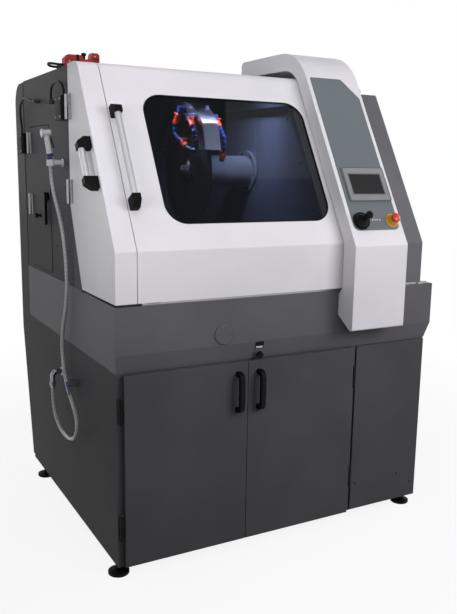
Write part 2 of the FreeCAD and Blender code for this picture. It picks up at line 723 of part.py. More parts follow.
def coolant_tub():
    """Folded skirt, tub floor with drain, top rim with the way into the chamber, and the button's ring."""
    outer = loft(SEAM_Z, FOLD_Z, 0).fuse(loft(FOLD_Z, TUB_TOP, 0))
    above = loft(TUB_FLOOR, TUB_TOP, SKIRT_WALL)
    below = loft(SEAM_Z, FOLD_Z - TUB_FLOOR_THICK / 2, SKIRT_WALL)
    shell = outer.cut(above).cut(below)
    rim = loft(TUB_TOP - RIM_THICK, TUB_TOP, SKIRT_WALL / 2)
    way_in = block(LEFT + RIM_LEFT, CHAMBER_RIGHT, RIM_FRONT, CHAMBER_REAR_Y, TUB_TOP - 2 * RIM_THICK,
                   TUB_TOP + 1)
    rim = rim.cut(way_in)
    drain = V((LEFT + CHAMBER_RIGHT) / 2, WHEEL_Y, TUB_FLOOR - DRAIN_LENGTH)
    spout = rod(drain, UP, DRAIN_RADIUS, DRAIN_LENGTH)
    ring_radius = BUTTON_RADIUS + BUTTON_RING_WALL
    sunk = SKIRT_WALL / 2
    ring = rod(BUTTON_FOOT - BAND_OUT * sunk, BAND_OUT, ring_radius, BUTTON_RING_HEIGHT + sunk)
    body = fuse(shell, rim, spout, ring)
    bore = rod(drain - UP, UP, DRAIN_RADIUS - SHEET, DRAIN_LENGTH + 2)
    socket = rod(BUTTON_FOOT, BAND_OUT, BUTTON_RADIUS + SLIDE_GAP, BUTTON_RING_HEIGHT + 1)
    return body.cut(bore).cut(socket)


def push_button():
    """Round black button that slides in the ring under the tub."""
    lift = BUTTON_STROKE + 1.0
    plunger = rod(BUTTON_FOOT + BAND_OUT * lift, BAND_OUT, BUTTON_RADIUS, BUTTON_LENGTH)
    face = plunger.Edges[0]
    return plunger.makeChamfer(1.5, [face])


# White hood

def window_corners(grow):
    """Rounded window outline on the slope, larger by grow on every side."""
    x0 = FRONT_DOOR_LEFT + WINDOW_SIDE_MARGIN - grow
    x1 = FRONT_DOOR_LEFT + WINDOW_SIDE_MARGIN + WINDOW_WIDTH + grow
    s0 = WINDOW_FOOT - grow
    s1 = WINDOW_FOOT + WINDOW_LENGTH + grow
    radius = WINDOW_RADIUS + grow
    return [(x0, s0, radius), (x1, s0, radius), (x1, s1, radius), (x0, s1, radius)]


def front_door():
    """Sliding hood door: bent sheet with returned edges, window hole, rail runners and rear hook."""
    x0, x1 = FRONT_DOOR_LEFT, FRONT_DOOR_RIGHT
    skin = hood_band(0, SHEET, HOOD_FOOT, FRONT_DOOR_ROOF_Y, x0, x1)
    skin = skin.cut(slope_plate(window_corners(0), -HOOD_FLANGE, HOOD_FLANGE))
    left_edge = hood_band(0, HOOD_FLANGE, HOOD_FOOT, FRONT_DOOR_ROOF_Y, x0, x0 + SHEET)
    right_edge = hood_band(0, HOOD_FLANGE, HOOD_FOOT, FRONT_DOOR_ROOF_Y, x1 - SHEET, x1)
    sill = block(x0, x1, HOOD_FACE_Y, RAIL_Y + RAIL_WIDTH, HOOD_FOOT, HOOD_FOOT + SHEET)
    hook = block(x0, x1, FRONT_DOOR_ROOF_Y - SHEET, FRONT_DOOR_ROOF_Y, ROOF_Z - HOOD_FLANGE, ROOF_Z)
    return fuse(skin, left_edge, right_edge, sill, hook, *[runner(x) for x in runner_places()])


def runner_places():
    """Where the two runners start along the door's sill."""
    near_end = 2 * HOOD_FLANGE
    return [FRONT_DOOR_LEFT + near_end, FRONT_DOOR_RIGHT - near_end - RUNNER_LENGTH]


def runner(x):
    """Runner under the sill that straddles the rail."""
    half = RAIL_WIDTH / 2 + SLIDE_GAP
    outside = half + RUNNER_SIDE
    low = TUB_TOP + RAIL_HEIGHT / 2
    body = block(x, x + RUNNER_LENGTH, RAIL_Y - outside, RAIL_Y + outside, low, HOOD_FOOT + SHEET)
    return body.cut(block(x - 1, x + RUNNER_LENGTH + 1, RAIL_Y - half, RAIL_Y + half, low - 1,
                          TUB_TOP + RAIL_HEIGHT + SLIDE_GAP))


def door_rails():
    """Lower rail on the tub's rim with its end stop, and the upper rail under the roof's front edge."""
    x0 = FRONT_DOOR_LEFT + HOOD_FLANGE
    stop_x = runner_places()[1] + RUNNER_LENGTH + FRONT_DOOR_TRAVEL + PANEL_GAP
    x1 = max(x0 + RAIL_LENGTH, stop_x + STOP_LENGTH)
    half = RAIL_WIDTH / 2
    lower = block(x0, x1, RAIL_Y - half, RAIL_Y + half, TUB_TOP, TUB_TOP + RAIL_HEIGHT)
    stop = block(stop_x, stop_x + STOP_LENGTH, RAIL_Y - 2 * half, RAIL_Y + 2 * half, TUB_TOP,
                 TUB_TOP + RAIL_HEIGHT)
    upper_y = FRONT_DOOR_ROOF_Y + SLIDE_GAP
    upper = block(x0, HOUSING_RIGHT, upper_y, upper_y + TOP_RAIL_WIDTH, WALL_TOP - TOP_RAIL_DEPTH, WALL_TOP)
    shelf = block(x0, HOUSING_RIGHT, upper_y, ROOF_FRONT_Y + TOP_RAIL_DEPTH, WALL_TOP - SHEET, WALL_TOP)
    return Part.makeCompound([fuse(lower, stop), fuse(upper, shelf)])


def window_pane():
    """Clear sheet behind the hood's window hole."""
    return slope_plate(window_corners(PANE_OVERLAP), -SHEET - PANE_THICK, -SHEET)


def handle_frame(foot, axis, out, length):
    """Ends of a tube handle: two points on the door face and the matching points on the tube's axis."""
    seats = [foot, foot + axis * length]
    return seats, [seat + out * HANDLE_STANDOFF for seat in seats]


def tube_handle(foot, axis, out, length):
    """Aluminium tube between a handle's two end caps."""
    _, ends = handle_frame(foot, axis, out, length)
    return rod(ends[0], axis, HANDLE_TUBE_RADIUS, length)


def handle_caps(foot, axis, out, length):
    """Black wedge-shaped end brackets that stand on the door face, each with a socket for the tube's end."""
    seats, ends = handle_frame(foot, axis, out, length)
    side = axis.cross(out)
    height = HANDLE_STANDOFF + HANDLE_TUBE_RADIUS + HANDLE_CAP_WALL
    half_width = HANDLE_TUBE_RADIUS + HANDLE_CAP_WALL
    line = [
        (-HANDLE_CAP_TAIL, 0),
        (HANDLE_CAP_GRIP, 0),
        (HANDLE_CAP_GRIP, height),
        (0, height),
        (-HANDLE_CAP_TAIL, height / 2),
    ]
    caps = []
    for seat, end, way in ((seats[0], ends[0], 1), (seats[1], ends[1], -1)):
        corners = [seat + axis * (way * a) + out * o - side * half_width for a, o in line]
        wedge = Part.Face(Part.makePolygon(corners + [corners[0]])).extrude(side * (2 * half_width))
        socket = rod(end, axis * way, HANDLE_TUBE_RADIUS, length / 2)
        caps.append(wedge.cut(socket))
    return Part.makeCompound(caps)


def long_handle():
    """Foot, axis, outward way and length of the sliding door's handle."""
    foot = slope_point(FRONT_DOOR_LEFT + LONG_HANDLE_INSET, LONG_HANDLE_FOOT, 0)
    return foot, SLOPE_UP, SLOPE_OUT, LONG_HANDLE_LENGTH


def short_handle():
    """Foot, axis, outward way and length of the left door's handle."""
    z = HOOD_FOOT + SHORT_HANDLE_FOOT_Z
    y = HOOD_FACE_Y + (z - KINK_Z) * math.tan(HOOD_LEAN) + SHORT_HANDLE_BACK
    return V(HOOD_LEFT, y, z), SLOPE_UP, V(-1, 0, 0), SHORT_HANDLE_LENGTH


def front_door_handle():
    """Tube of the sliding door's handle."""
    return tube_handle(*long_handle())


def front_handle_brackets():
    """Brackets of the sliding door's handle."""
    return handle_caps(*long_handle())


def left_door_handle():
    """Tube of the left door's handle."""
    return tube_handle(*short_handle())


def left_handle_caps():
    """Brackets of the left door's handle."""
    return handle_caps(*short_handle())


def left_door():
    """L-shaped hinged door: flat side plate with the hood's outline and a narrow front strip."""
    kink, top = hood_corners(0)
    side = profile_yz([
        (HOOD_FACE_Y, HOOD_FOOT, 0),
        (kink[0], kink[1], HOOD_KINK_RADIUS),
        (top[0], top[1], HOOD_TOP_RADIUS),
        (LEFT_DOOR_REAR_Y, ROOF_Z, 0),
        (LEFT_DOOR_REAR_Y, HOOD_FOOT + LEFT_DOOR_CORNER_Z, 0),
        (LEFT_DOOR_FOOT_Y, HOOD_FOOT, 0),
    ], HOOD_LEFT, HOOD_LEFT + SHEET)
    strip = hood_band(0, SHEET, HOOD_FOOT, LEFT_DOOR_REAR_Y, HOOD_LEFT, SEAM_X)
    edge = hood_band(0, HOOD_FLANGE, HOOD_FOOT, LEFT_DOOR_REAR_Y, SEAM_X - SHEET, SEAM_X)
    sill = block(HOOD_LEFT, SEAM_X, HOOD_FACE_Y, HOOD_FACE_Y + HOOD_FLANGE, HOOD_FOOT, HOOD_FOOT + SHEET)
    side_sill = block(HOOD_LEFT, HOOD_LEFT + HOOD_FLANGE, HOOD_FACE_Y, LEFT_DOOR_FOOT_Y, HOOD_FOOT,
                      HOOD_FOOT + SHEET)
    return fuse(side, strip, edge, sill, side_sill)


# Upper left wall, hatch and hinges

def left_wall_edge():
    """Front edge of the upper left wall: foot, corner and top, clear of the left door."""
    y = LEFT_DOOR_REAR_Y + LEFT_WALL_GAP
    corner_z = HOOD_FOOT + LEFT_DOOR_CORNER_Z
    return (LEFT_DOOR_FOOT_Y + LEFT_WALL_GAP, TUB_TOP), (y, corner_z), (y, WALL_TOP)


def left_wall():
    """Dark upper side wall with the hatch opening, a hinge post and the flare beside the left door's foot."""
    foot, corner, top = left_wall_edge()
    plate = profile_yz([
        (foot[0], foot[1], 0),
        (corner[0], corner[1], 0),
        (top[0], top[1], 0),
        (REAR, WALL_TOP, 0),
        (REAR, TUB_TOP, 0),
    ], WALL_X, WALL_X + SHEET)
    hatch_foot = TUB_TOP + HATCH_FOOT
    opening = block(WALL_X - 1, WALL_X + SHEET + 1, HATCH_FRONT_Y - PANEL_GAP, HATCH_REAR_Y + PANEL_GAP,
                    hatch_foot - PANEL_GAP, hatch_foot + HATCH_HEIGHT + PANEL_GAP)
    plate = plate.cut(opening)
    inside = WALL_X + SHEET
    post = block(inside, inside + WALL_POST, corner[0], corner[0] + WALL_POST, corner[1], WALL_TOP)
    flare = tetrahedron(V(WALL_X, foot[0], foot[1]), V(WALL_X, corner[0], corner[1]),
                        V(WALL_X, corner[0] + FLARE_APEX_BACK, foot[1]), V(HOOD_LEFT, foot[0], foot[1]))
    wall = WALL_X + SHEET / 2
    glands = []
    for route in (DOOR_CABLE, HATCH_CABLE):
        end = route[-1]
        glands.append(gland(route))
        seat = V(end.x, end.y, end.z) + route_end(route) * (GLAND_LENGTH / 2)
        glands.append(rod(seat, ALONG_X, GLAND_RADIUS, wall - seat.x))
    return fuse(plate, post, flare, *glands)


def tetrahedron(a, b, c, d):
    """Solid with four corners."""
    sides = ((a, b, c), (a, b, d), (b, c, d), (c, a, d))
    return Part.Solid(Part.Shell([Part.Face(Part.makePolygon([p, q, r, p])) for p, q, r in sides]))


def route_end(route):
    """Direction in which a cord arrives at its end."""
    return (route[-1] - route[-2]).normalize()


def gland(route):
    """Cable gland in line with a cable's end."""
    return rod(route[-1], route_end(route), GLAND_RADIUS, GLAND_LENGTH)


def side_hatch():
    """Hatch pressed as a shallow tray, flush with the cabinet's side."""
    z0 = TUB_TOP + HATCH_FOOT
    z1 = z0 + HATCH_HEIGHT
    outer = block(LEFT, LEFT + HATCH_DEPTH, HATCH_FRONT_Y, HATCH_REAR_Y, z0, z1)
    return outer.cut(block(LEFT + HATCH_SKIN, LEFT + HATCH_DEPTH + 1, HATCH_FRONT_Y + HATCH_SKIN,
                           HATCH_REAR_Y - HATCH_SKIN, z0 + HATCH_SKIN, z1 - HATCH_SKIN))


def latch_pivot():
    """Middle of the hatch latch's round end, on the hatch's face."""
    return V(LEFT, LATCH_Y, TUB_TOP + HATCH_FOOT + LATCH_PIVOT_UP)


def hatch_latch():
    """Swing latch: round boss on the hatch with a tapered lever hanging from it."""
    pivot = latch_pivot()
    seat = pivot - ALONG_X * SLIDE_GAP
    boss = rod(seat, V(-1, 0, 0), LATCH_RADIUS, LATCH_LIFT + LATCH_THICK)
    half_top = LATCH_RADIUS * 0.8
    half_low = LATCH_WIDTH / 2
    foot_z = pivot.z - LATCH_LENGTH
    x0 = seat.x - LATCH_LIFT
    lever = profile_yz([
        (pivot.y - half_top, pivot.z, 0),
        (pivot.y + half_top, pivot.z, 0),
        (pivot.y + half_low, foot_z, half_low * 0.8),
        (pivot.y - half_low, foot_z, half_low * 0.8),
    ], x0, x0 - LATCH_THICK)
    return fuse(boss, lever)


def hinge_heights(low, high):
    """Middle heights of a pair of hinges whose feet stand at two heights above the tub."""
    return [TUB_TOP + foot + HINGE_LENGTH / 2 for foot in (low, high)]


LEFT_DOOR_HINGE_Z = hinge_heights(LEFT_DOOR_HINGE_LOW, LEFT_DOOR_HINGE_HIGH)
HATCH_HINGE_Z = hinge_heights(HATCH_HINGE_LOW, HATCH_HINGE_HIGH)


def fixed_leaf(axis, height, face_x):
    """Fixed hinge half: knuckle, pin and a leaf on the wall behind it."""
    half = HINGE_LENGTH / 2
    centre = V(axis.x, axis.y, height)
    knuckle = pinned_knuckle(centre, half, HINGE_PIN_RADIUS, HINGE_RADIUS)
    web = block(axis.x, face_x, axis.y, axis.y + HINGE_LEAF_THICK, height - half, height)
    leaf = block(face_x - HINGE_LEAF_THICK, face_x, axis.y, axis.y + HINGE_LEAF, height - half, height + half)
    leaf = leaf.cut(rod(centre, UP, HINGE_RADIUS + SLIDE_GAP, half + 1))
    return fuse(knuckle, web, leaf)


def door_hinges():
    """Fixed halves of the chrome hinges of the left door and of the hatch."""
    leaves = [fixed_leaf(LEFT_HINGE, z, WALL_X) for z in LEFT_DOOR_HINGE_Z]
    leaves += [fixed_leaf(HATCH_HINGE, z, WALL_X) for z in HATCH_HINGE_Z]
    return Part.makeCompound(leaves)


def moving_leaf(axis, height, face_x):
    """Moving hinge half: upper knuckle and a leaf on the door's face."""
    half = HINGE_LENGTH / 2
    centre = V(axis.x, axis.y, height)
    knuckle = sleeve_knuckle(centre, half, HINGE_PIN_RADIUS, HINGE_RADIUS)
    low = height + SLIDE_GAP
    leaf = block(face_x - HINGE_LEAF_THICK, face_x, axis.y - HINGE_LEAF, axis.y - HINGE_PIN_RADIUS - 1, low,
                 height + half)
    web = block(axis.x, face_x, axis.y - HINGE_RADIUS, axis.y - HINGE_PIN_RADIUS - 1, low, height + half)
    return fuse(knuckle, leaf, web)


def left_door_leaves():
    """Moving halves of the left door's hinges."""
    return Part.makeCompound([moving_leaf(LEFT_HINGE, z, HOOD_LEFT) for z in LEFT_DOOR_HINGE_Z])


def hatch_leaves():
    """Moving halves of the hatch's hinges."""
    return Part.makeCompound([moving_leaf(HATCH_HINGE, z, LEFT) for z in HATCH_HINGE_Z])


def switch_box(y0, face_x, height):
    """Black switch body beside a hinge, with bevelled edges."""
    half = HINGE_LENGTH / 2
    c = SWITCH_CHAMFER
    x1 = face_x - SWITCH_DEPTH
    y1 = y0 + SWITCH_WIDTH
    plan = [V(face_x, y0, height - half), V(x1 + c, y0, height - half), V(x1, y0 + c, height - half),
            V(x1, y1 - c, height - half), V(x1 + c, y1, height - half), V(face_x, y1, height - half)]
    return Part.Face(Part.makePolygon(plan + [plan[0]])).extrude(UP * HINGE_LENGTH)


DOOR_SWITCH_Y = LEFT_HINGE.y + HINGE_LEAF + SWITCH_GAP
HATCH_SWITCH_Y = HATCH_HINGE.y + HINGE_LEAF + SWITCH_GAP


def hinge_switches():
    """Safety switches of the left door and the hatch, each behind its upper hinge."""
    door = switch_box(DOOR_SWITCH_Y, WALL_X, LEFT_DOOR_HINGE_Z[1])
    hatch = switch_box(HATCH_SWITCH_Y, LEFT, HATCH_HINGE_Z[1])
    return Part.makeCompound([door, hatch])


# Rear cover, roof and right housing

def rear_cover():
    """Cover over the back: tapering foot, straight back and rounded top, open towards the machine."""
    rear = REAR + REAR_COVER_DEPTH

    def body(inset, front):
        """The cover's form, inset from its outside, starting at a front plane."""
        return profile_yz([
            (front, REAR_COVER_FOOT_Z + inset, 0),
            (REAR + REAR_COVER_FOOT - inset, REAR_COVER_FOOT_Z + inset, 0),
            (rear - inset, REAR_COVER_BEND_Z, 0),
            (rear - inset, WALL_TOP - inset, REAR_COVER_RADIUS - inset),
            (front, WALL_TOP - inset, 0),
        ], LEFT + inset, RIGHT - inset)

    return body(0, REAR).cut(body(SHEET, REAR - 1))


def roof_panel():
    """Flat roof behind the hood doors."""
    plate = block(WALL_X, HOUSING_RIGHT, ROOF_FRONT_Y, REAR, WALL_TOP, ROOF_Z)
    end = INTERLOCK_CABLE[-1] + route_end(INTERLOCK_CABLE) * (GLAND_LENGTH / 2)
    seat = rod(V(end.x, end.y, ROOF_Z - ROOF_THICK / 2), UP, GLAND_RADIUS, end.z - ROOF_Z + ROOF_THICK / 2)
    return fuse(plate, seat, gland(INTERLOCK_CABLE))


def right_housing():
    """Dark housing right of the chamber: its front runs parallel to the hood; open left, behind and below."""
    step_y = ROOF_FRONT_Y

    def body(inset, foot, rear, x0, x1):
        """The housing's form, inset from its outside."""
        kink, _ = hood_corners(HOUSING_SETBACK + inset)
        low_top = HOUSING_TOP - inset
        low_y = slope_y(HOUSING_SETBACK + inset, low_top)
        return profile_yz([
            (kink[0], foot, 0),
            (kink[0], kink[1], HOOD_KINK_RADIUS),
            (low_y, low_top, HOOD_KINK_RADIUS),
            (step_y + TOP_RAIL_DEPTH + inset, low_top, 0),
            (step_y + TOP_RAIL_DEPTH + inset, WALL_TOP - inset, 0),
            (rear, WALL_TOP - inset, 0),
            (rear, foot, 0),
        ], x0, x1)

    outer = body(0, TUB_TOP, REAR, HOUSING_LEFT, HOUSING_RIGHT)
    return outer.cut(body(SHEET, TUB_TOP - 1, REAR + 1, HOUSING_LEFT - 1, HOUSING_RIGHT - SHEET))


# Console

CONSOLE_OUT = COLUMN_DOOR_GAP + COLUMN_SLOPE_THICK
CONSOLE_FOOT = (COLUMN_FACE_Y - HOOD_FACE_Y + CONSOLE_OUT * math.cos(HOOD_LEAN)) / math.sin(HOOD_LEAN)


def column_profile():
    """Side outline of the C-shaped console column that bridges the sliding door."""
    kink, _ = hood_corners(-COLUMN_DOOR_GAP)
    _, kink_z = slope_yz(CONSOLE_FOOT, CONSOLE_OUT)
    top_z = ROOF_Z + COLUMN_TOP_RISE
    arch_z = ROOF_Z + COLUMN_ARCH_GAP
    tan_lean = math.tan(HOOD_LEAN)
    top_y = COLUMN_FACE_Y + (top_z - kink_z) * tan_lean
    arch_y = kink[0] + (arch_z - kink[1]) * tan_lean
    foot_y = COLUMN_REAR_Y - COLUMN_ARCH_FOOT
    return [
        (COLUMN_FACE_Y, COLUMN_BOTTOM_Z, 8.0),
        (COLUMN_FACE_Y, kink_z, HOOD_KINK_RADIUS),
        (top_y, top_z, COLUMN_TOP_RADIUS),
        (COLUMN_REAR_Y, top_z, 24.0),
        (COLUMN_REAR_Y, ROOF_Z, 0),
        (foot_y, ROOF_Z, 0),
        (foot_y, arch_z, 12.0),
        (arch_y, arch_z, COLUMN_INNER_RADIUS),
        (kink[0], kink[1], HOOD_KINK_RADIUS),
        (kink[0], HOOD_FOOT, 0),
        (SKIRT_Y, COLUMN_SHELF_Z, 0),
        (SKIRT_Y, COLUMN_HEEL_Z, 0),
        (COLUMN_FACE_Y + COLUMN_TOE, COLUMN_BOTTOM_Z, 4.0),
    ]


def console_column():
    """Hollow white column, open at its heel where the cables come through the tub's skirt."""
    corners = column_profile()
    solid = profile_yz(corners, COLUMN_LEFT, COLUMN_RIGHT)
    points = [V(COLUMN_LEFT + COLUMN_WALL, y, z) for y, z, _ in corners]
    face = Part.Face(outline(points, [radius for _, _, radius in corners]))
    hollow = face.makeOffset2D(-COLUMN_WALL).extrude(V(COLUMN_WIDTH - 2 * COLUMN_WALL, 0, 0))
    mid = (COLUMN_LEFT + COLUMN_RIGHT) / 2
    quarter = COLUMN_WIDTH / 4
    window = block(mid - quarter, mid + quarter, SKIRT_Y - 2 * COLUMN_WALL, SKIRT_Y + 1,
                   COLUMN_HEEL_Z + 2 * COLUMN_WALL, COLUMN_SHELF_Z - 2 * COLUMN_WALL)
    return solid.cut(hollow).cut(window)


PANEL_LEFT = COLUMN_LEFT + PANEL_MARGIN
PANEL_RIGHT = COLUMN_RIGHT - PANEL_MARGIN
PANEL_OUT = CONSOLE_OUT + PANEL_THICK


def console_along(up):
    """Distance along the slope for a height above the control panel's foot."""
    return CONSOLE_FOOT + PANEL_FOOT + up


def panel_point(across, up, out):
    """Point on the control panel: across from its left edge, up from its foot, out from its face."""
    return slope_point(PANEL_LEFT + across, console_along(up), PANEL_OUT + out)


def control_panel():
    """Grey plate on the column's slope with one cut corner, and the raised ring round the joystick."""
    foot = console_along(0)
    top = console_along(PANEL_LENGTH)
    plate = slope_plate([
        (PANEL_LEFT, foot, PANEL_RADIUS),
        (PANEL_RIGHT, foot, PANEL_RADIUS),
        (PANEL_RIGHT, top - PANEL_CUT_ALONG, 6.0),
        (PANEL_RIGHT - PANEL_CUT_ACROSS, top, 6.0),
        (PANEL_LEFT, top, 6.0),
    ], CONSOLE_OUT, PANEL_OUT)
    centre = panel_point(JOYSTICK_FROM_LEFT, JOYSTICK_UP, 0)
    ring = rod(centre - SLOPE_OUT, SLOPE_OUT, JOYSTICK_RING_RADIUS, JOYSTICK_RING_HEIGHT + 1)
    well = Part.makeSphere(JOYSTICK_BOOT_RADIUS + SLIDE_GAP, V(0, 0, 0), UP, 0, 90, 360)
    return fuse(plate, ring).cut(stand_on_slope(well, centre))


def touch_panel():
    """Touch panel with a bevelled bezel and a sunk screen."""
    x0 = PANEL_LEFT + TOUCH_LEFT
    x1 = x0 + TOUCH_WIDTH
    s0 = console_along(TOUCH_FOOT)
    s1 = s0 + TOUCH_HEIGHT
    bevel = 3.0
    out = PANEL_OUT
    wires = []
    for inset, height in ((0, 0), (0, TOUCH_THICK - bevel), (bevel, TOUCH_THICK)):
        left, right, low, high = x0 + inset, x1 - inset, s0 + inset, s1 - inset
        places = ((left, low), (right, low), (right, high), (left, high))
        ring = [slope_point(x, s, out + height) for x, s in places]
        wires.append(Part.makePolygon(ring + [ring[0]]))
    body = Part.makeLoft(wires, True, True)
    side = (TOUCH_WIDTH - SCREEN_WIDTH) / 2
    end = (TOUCH_HEIGHT - SCREEN_HEIGHT) / 2
    screen = slope_plate([(x0 + side, s0 + end, 0), (x1 - side, s0 + end, 0), (x1 - side, s1 - end, 0),
                          (x0 + side, s1 - end, 0)], out + TOUCH_THICK - SCREEN_DEPTH, out + TOUCH_THICK + 1)
    return body.cut(screen)


ESTOP_SEAT = panel_point(ESTOP_FROM_LEFT, ESTOP_UP, 0)


def estop_collar():
    """Yellow collar with the bore that the stop's stem slides in."""
    cone = Part.makeCone(ESTOP_COLLAR_RADIUS, ESTOP_COLLAR_TOP, ESTOP_COLLAR_HEIGHT, ESTOP_SEAT, SLOPE_OUT)
    bore = rod(ESTOP_SEAT + SLOPE_OUT * 2.0, SLOPE_OUT, ESTOP_STEM_RADIUS + RUNNING_GAP, ESTOP_COLLAR_HEIGHT)
    return cone.cut(bore)


ESTOP_CAP_SEAT = ESTOP_SEAT + SLOPE_OUT * (ESTOP_COLLAR_HEIGHT + ESTOP_STROKE + 2.0)
ESTOP_PEG = 8.0
ESTOP_PEG_RADIUS = 5.0


def estop_stem():
    """Plunger in the collar, with a peg that the cap twists on."""
    foot = ESTOP_SEAT + SLOPE_OUT * (ESTOP_STROKE + 3.0)
    length = (ESTOP_CAP_SEAT - foot).Length - SLIDE_GAP
    stem = rod(foot, SLOPE_OUT, ESTOP_STEM_RADIUS, length)
    peg = rod(foot, SLOPE_OUT, ESTOP_PEG_RADIUS, length + ESTOP_PEG)
    return fuse(stem, peg)


def estop_head():
    """Red mushroom cap: straight rim and domed top."""
    r = ESTOP_CAP_RADIUS
    rim = ESTOP_CAP_THICK * 0.55
    rise = ESTOP_CAP_THICK - rim
    dome = (r ** 2 + rise ** 2) / (2 * rise)
    half_angle = math.asin(r / dome) / 2
    dome_mid = V(dome * math.sin(half_angle), 0, ESTOP_CAP_THICK - dome * (1 - math.cos(half_angle)))
    edges = [
        Part.LineSegment(V(0, 0, 0), V(r * 0.82, 0, 0)).toShape(),
        Part.LineSegment(V(r * 0.82, 0, 0), V(r, 0, rim * 0.4)).toShape(),
        Part.LineSegment(V(r, 0, rim * 0.4), V(r, 0, rim)).toShape(),
        Part.Arc(V(r, 0, rim), dome_mid, V(0, 0, ESTOP_CAP_THICK)).toShape(),
        Part.LineSegment(V(0, 0, ESTOP_CAP_THICK), V(0, 0, 0)).toShape(),
    ]
    cap = Part.Face(Part.Wire(edges)).revolve(V(0, 0, 0), UP, 360)
    cap = cap.cut(rod(V(0, 0, -1), UP, ESTOP_PEG_RADIUS + RUNNING_GAP, ESTOP_PEG + 1.5))
    return stand_on_slope(cap, ESTOP_CAP_SEAT)


def stand_on_slope(shape, place):
    """Turns a piece built along +Z to stand out of the console's slope at a place."""
    turn = FreeCAD.Rotation(UP, SLOPE_OUT)
    moved = shape.copy()
    moved.Placement = FreeCAD.Placement(place, turn)
    return moved


JOYSTICK_PIVOT = panel_point(JOYSTICK_FROM_LEFT, JOYSTICK_UP, 0)


def dome(radius, foot):
    """Half ball standing on z = 0 with everything below a foot height cut away."""
    ball = Part.makeSphere(radius, V(0, 0, 0), UP, 0, 90, 360)
    return ball.cut(rod(V(0, 0, -1), UP, radius + 1, foot + 1))


def joystick_boot():
    """Thin dome that tilts inside the panel's ring, open at its top for the lever."""
    hollow = Part.makeSphere(JOYSTICK_BOOT_RADIUS - JOYSTICK_BOOT_WALL)
    mouth = rod(V(0, 0, 0), UP, JOYSTICK_BOOT_MOUTH, JOYSTICK_BOOT_RADIUS + 1)
    shell = dome(JOYSTICK_BOOT_RADIUS, JOYSTICK_BOOT_FOOT).cut(hollow).cut(mouth)
    return stand_on_slope(shell, JOYSTICK_PIVOT)


def joystick_lever():
    """Joystick's rod with a pear-shaped knob and a ball foot that fits inside the dome."""
    ball = dome(JOYSTICK_BOOT_RADIUS - JOYSTICK_BOOT_WALL - SLIDE_GAP, JOYSTICK_BOOT_FOOT + 1.0)
    r = JOYSTICK_KNOB_RADIUS
    top = JOYSTICK_LEVER_LENGTH
    stem = rod(V(0, 0, JOYSTICK_BOOT_FOOT + 1.0), UP, JOYSTICK_LEVER_RADIUS, top - 2 * r)
    knob_foot = top - 3 * r
    pear = Part.makeCone(JOYSTICK_LEVER_RADIUS, r, 2 * r, V(0, 0, knob_foot), UP)
    knob = Part.makeSphere(r, V(0, 0, top - r))
    return stand_on_slope(fuse(ball, stem, pear, knob), JOYSTICK_PIVOT)


# Chamber and cutting head

SLOT_TOP = WHEEL_Z + QUILL_RADIUS + SLOT_SIDE_GAP
SLOT_FOOT = WHEEL_Z - HEAD_TRAVEL - QUILL_RADIUS - SLOT_SIDE_GAP
SLOT_HALF = QUILL_RADIUS + SLOT_SIDE_GAP
CEILING_Z = WALL_TOP - CHAMBER_CEILING_DROP


def chamber_walls():
    """Light chamber walls: rear, ceiling and right wall with the head's slot and a screwed front flange."""
    flange_kink, _ = hood_corners(CHAMBER_FLANGE_SETBACK)
    ceiling_y = slope_y(CHAMBER_FLANGE_SETBACK, CEILING_Z)
    right = profile_yz([
        (flange_kink[0], TUB_TOP, 0),
        (flange_kink[0], flange_kink[1], 0),
        (ceiling_y, CEILING_Z, 0),
        (CHAMBER_REAR_Y, CEILING_Z, 0),
        (CHAMBER_REAR_Y, TUB_TOP, 0),
    ], CHAMBER_RIGHT, HOUSING_LEFT)
    slot = block(CHAMBER_RIGHT - 1, HOUSING_LEFT + 1, WHEEL_Y - SLOT_HALF, WHEEL_Y + SLOT_HALF, SLOT_FOOT,
                 SLOT_TOP)
    right = right.cut(slot)
    inner_kink, _ = hood_corners(CHAMBER_FLANGE_SETBACK + SHEET)
    inner_y = slope_y(CHAMBER_FLANGE_SETBACK + SHEET, CEILING_Z)
    flange = profile_yz([
        (flange_kink[0], TUB_TOP, 0),
        (flange_kink[0], flange_kink[1], 0),
        (ceiling_y, CEILING_Z, 0),
        (inner_y, CEILING_Z, 0),
        (inner_kink[0], inner_kink[1], 0),
        (inner_kink[0], TUB_TOP, 0),
    ], CHAMBER_RIGHT, CHAMBER_RIGHT + CHAMBER_FLANGE_WIDTH)
    rear = block(WALL_X + SHEET, HOUSING_LEFT, CHAMBER_REAR_Y, CHAMBER_REAR_Y + SHEET, TUB_TOP, CEILING_Z)
    ceiling = block(WALL_X + SHEET + WALL_POST, HOUSING_LEFT, ROOF_FRONT_Y + TOP_RAIL_DEPTH,
                    CHAMBER_REAR_Y + SHEET, CEILING_Z - SHEET, CEILING_Z)
    return fuse(right, flange, rear, ceiling)


HEAD_AXIS = V(WHEEL_X, WHEEL_Y, WHEEL_Z)
CARRIAGE_X = HOUSING_LEFT + GUIDE_DEPTH + BLOCK_WALL
QUILL_START = WHEEL_X + QUILL_SETBACK


def guide_places():
    """Y of the two vertical guide rails."""
    return [WHEEL_Y - GUIDE_SPACING / 2, WHEEL_Y + GUIDE_SPACING / 2]


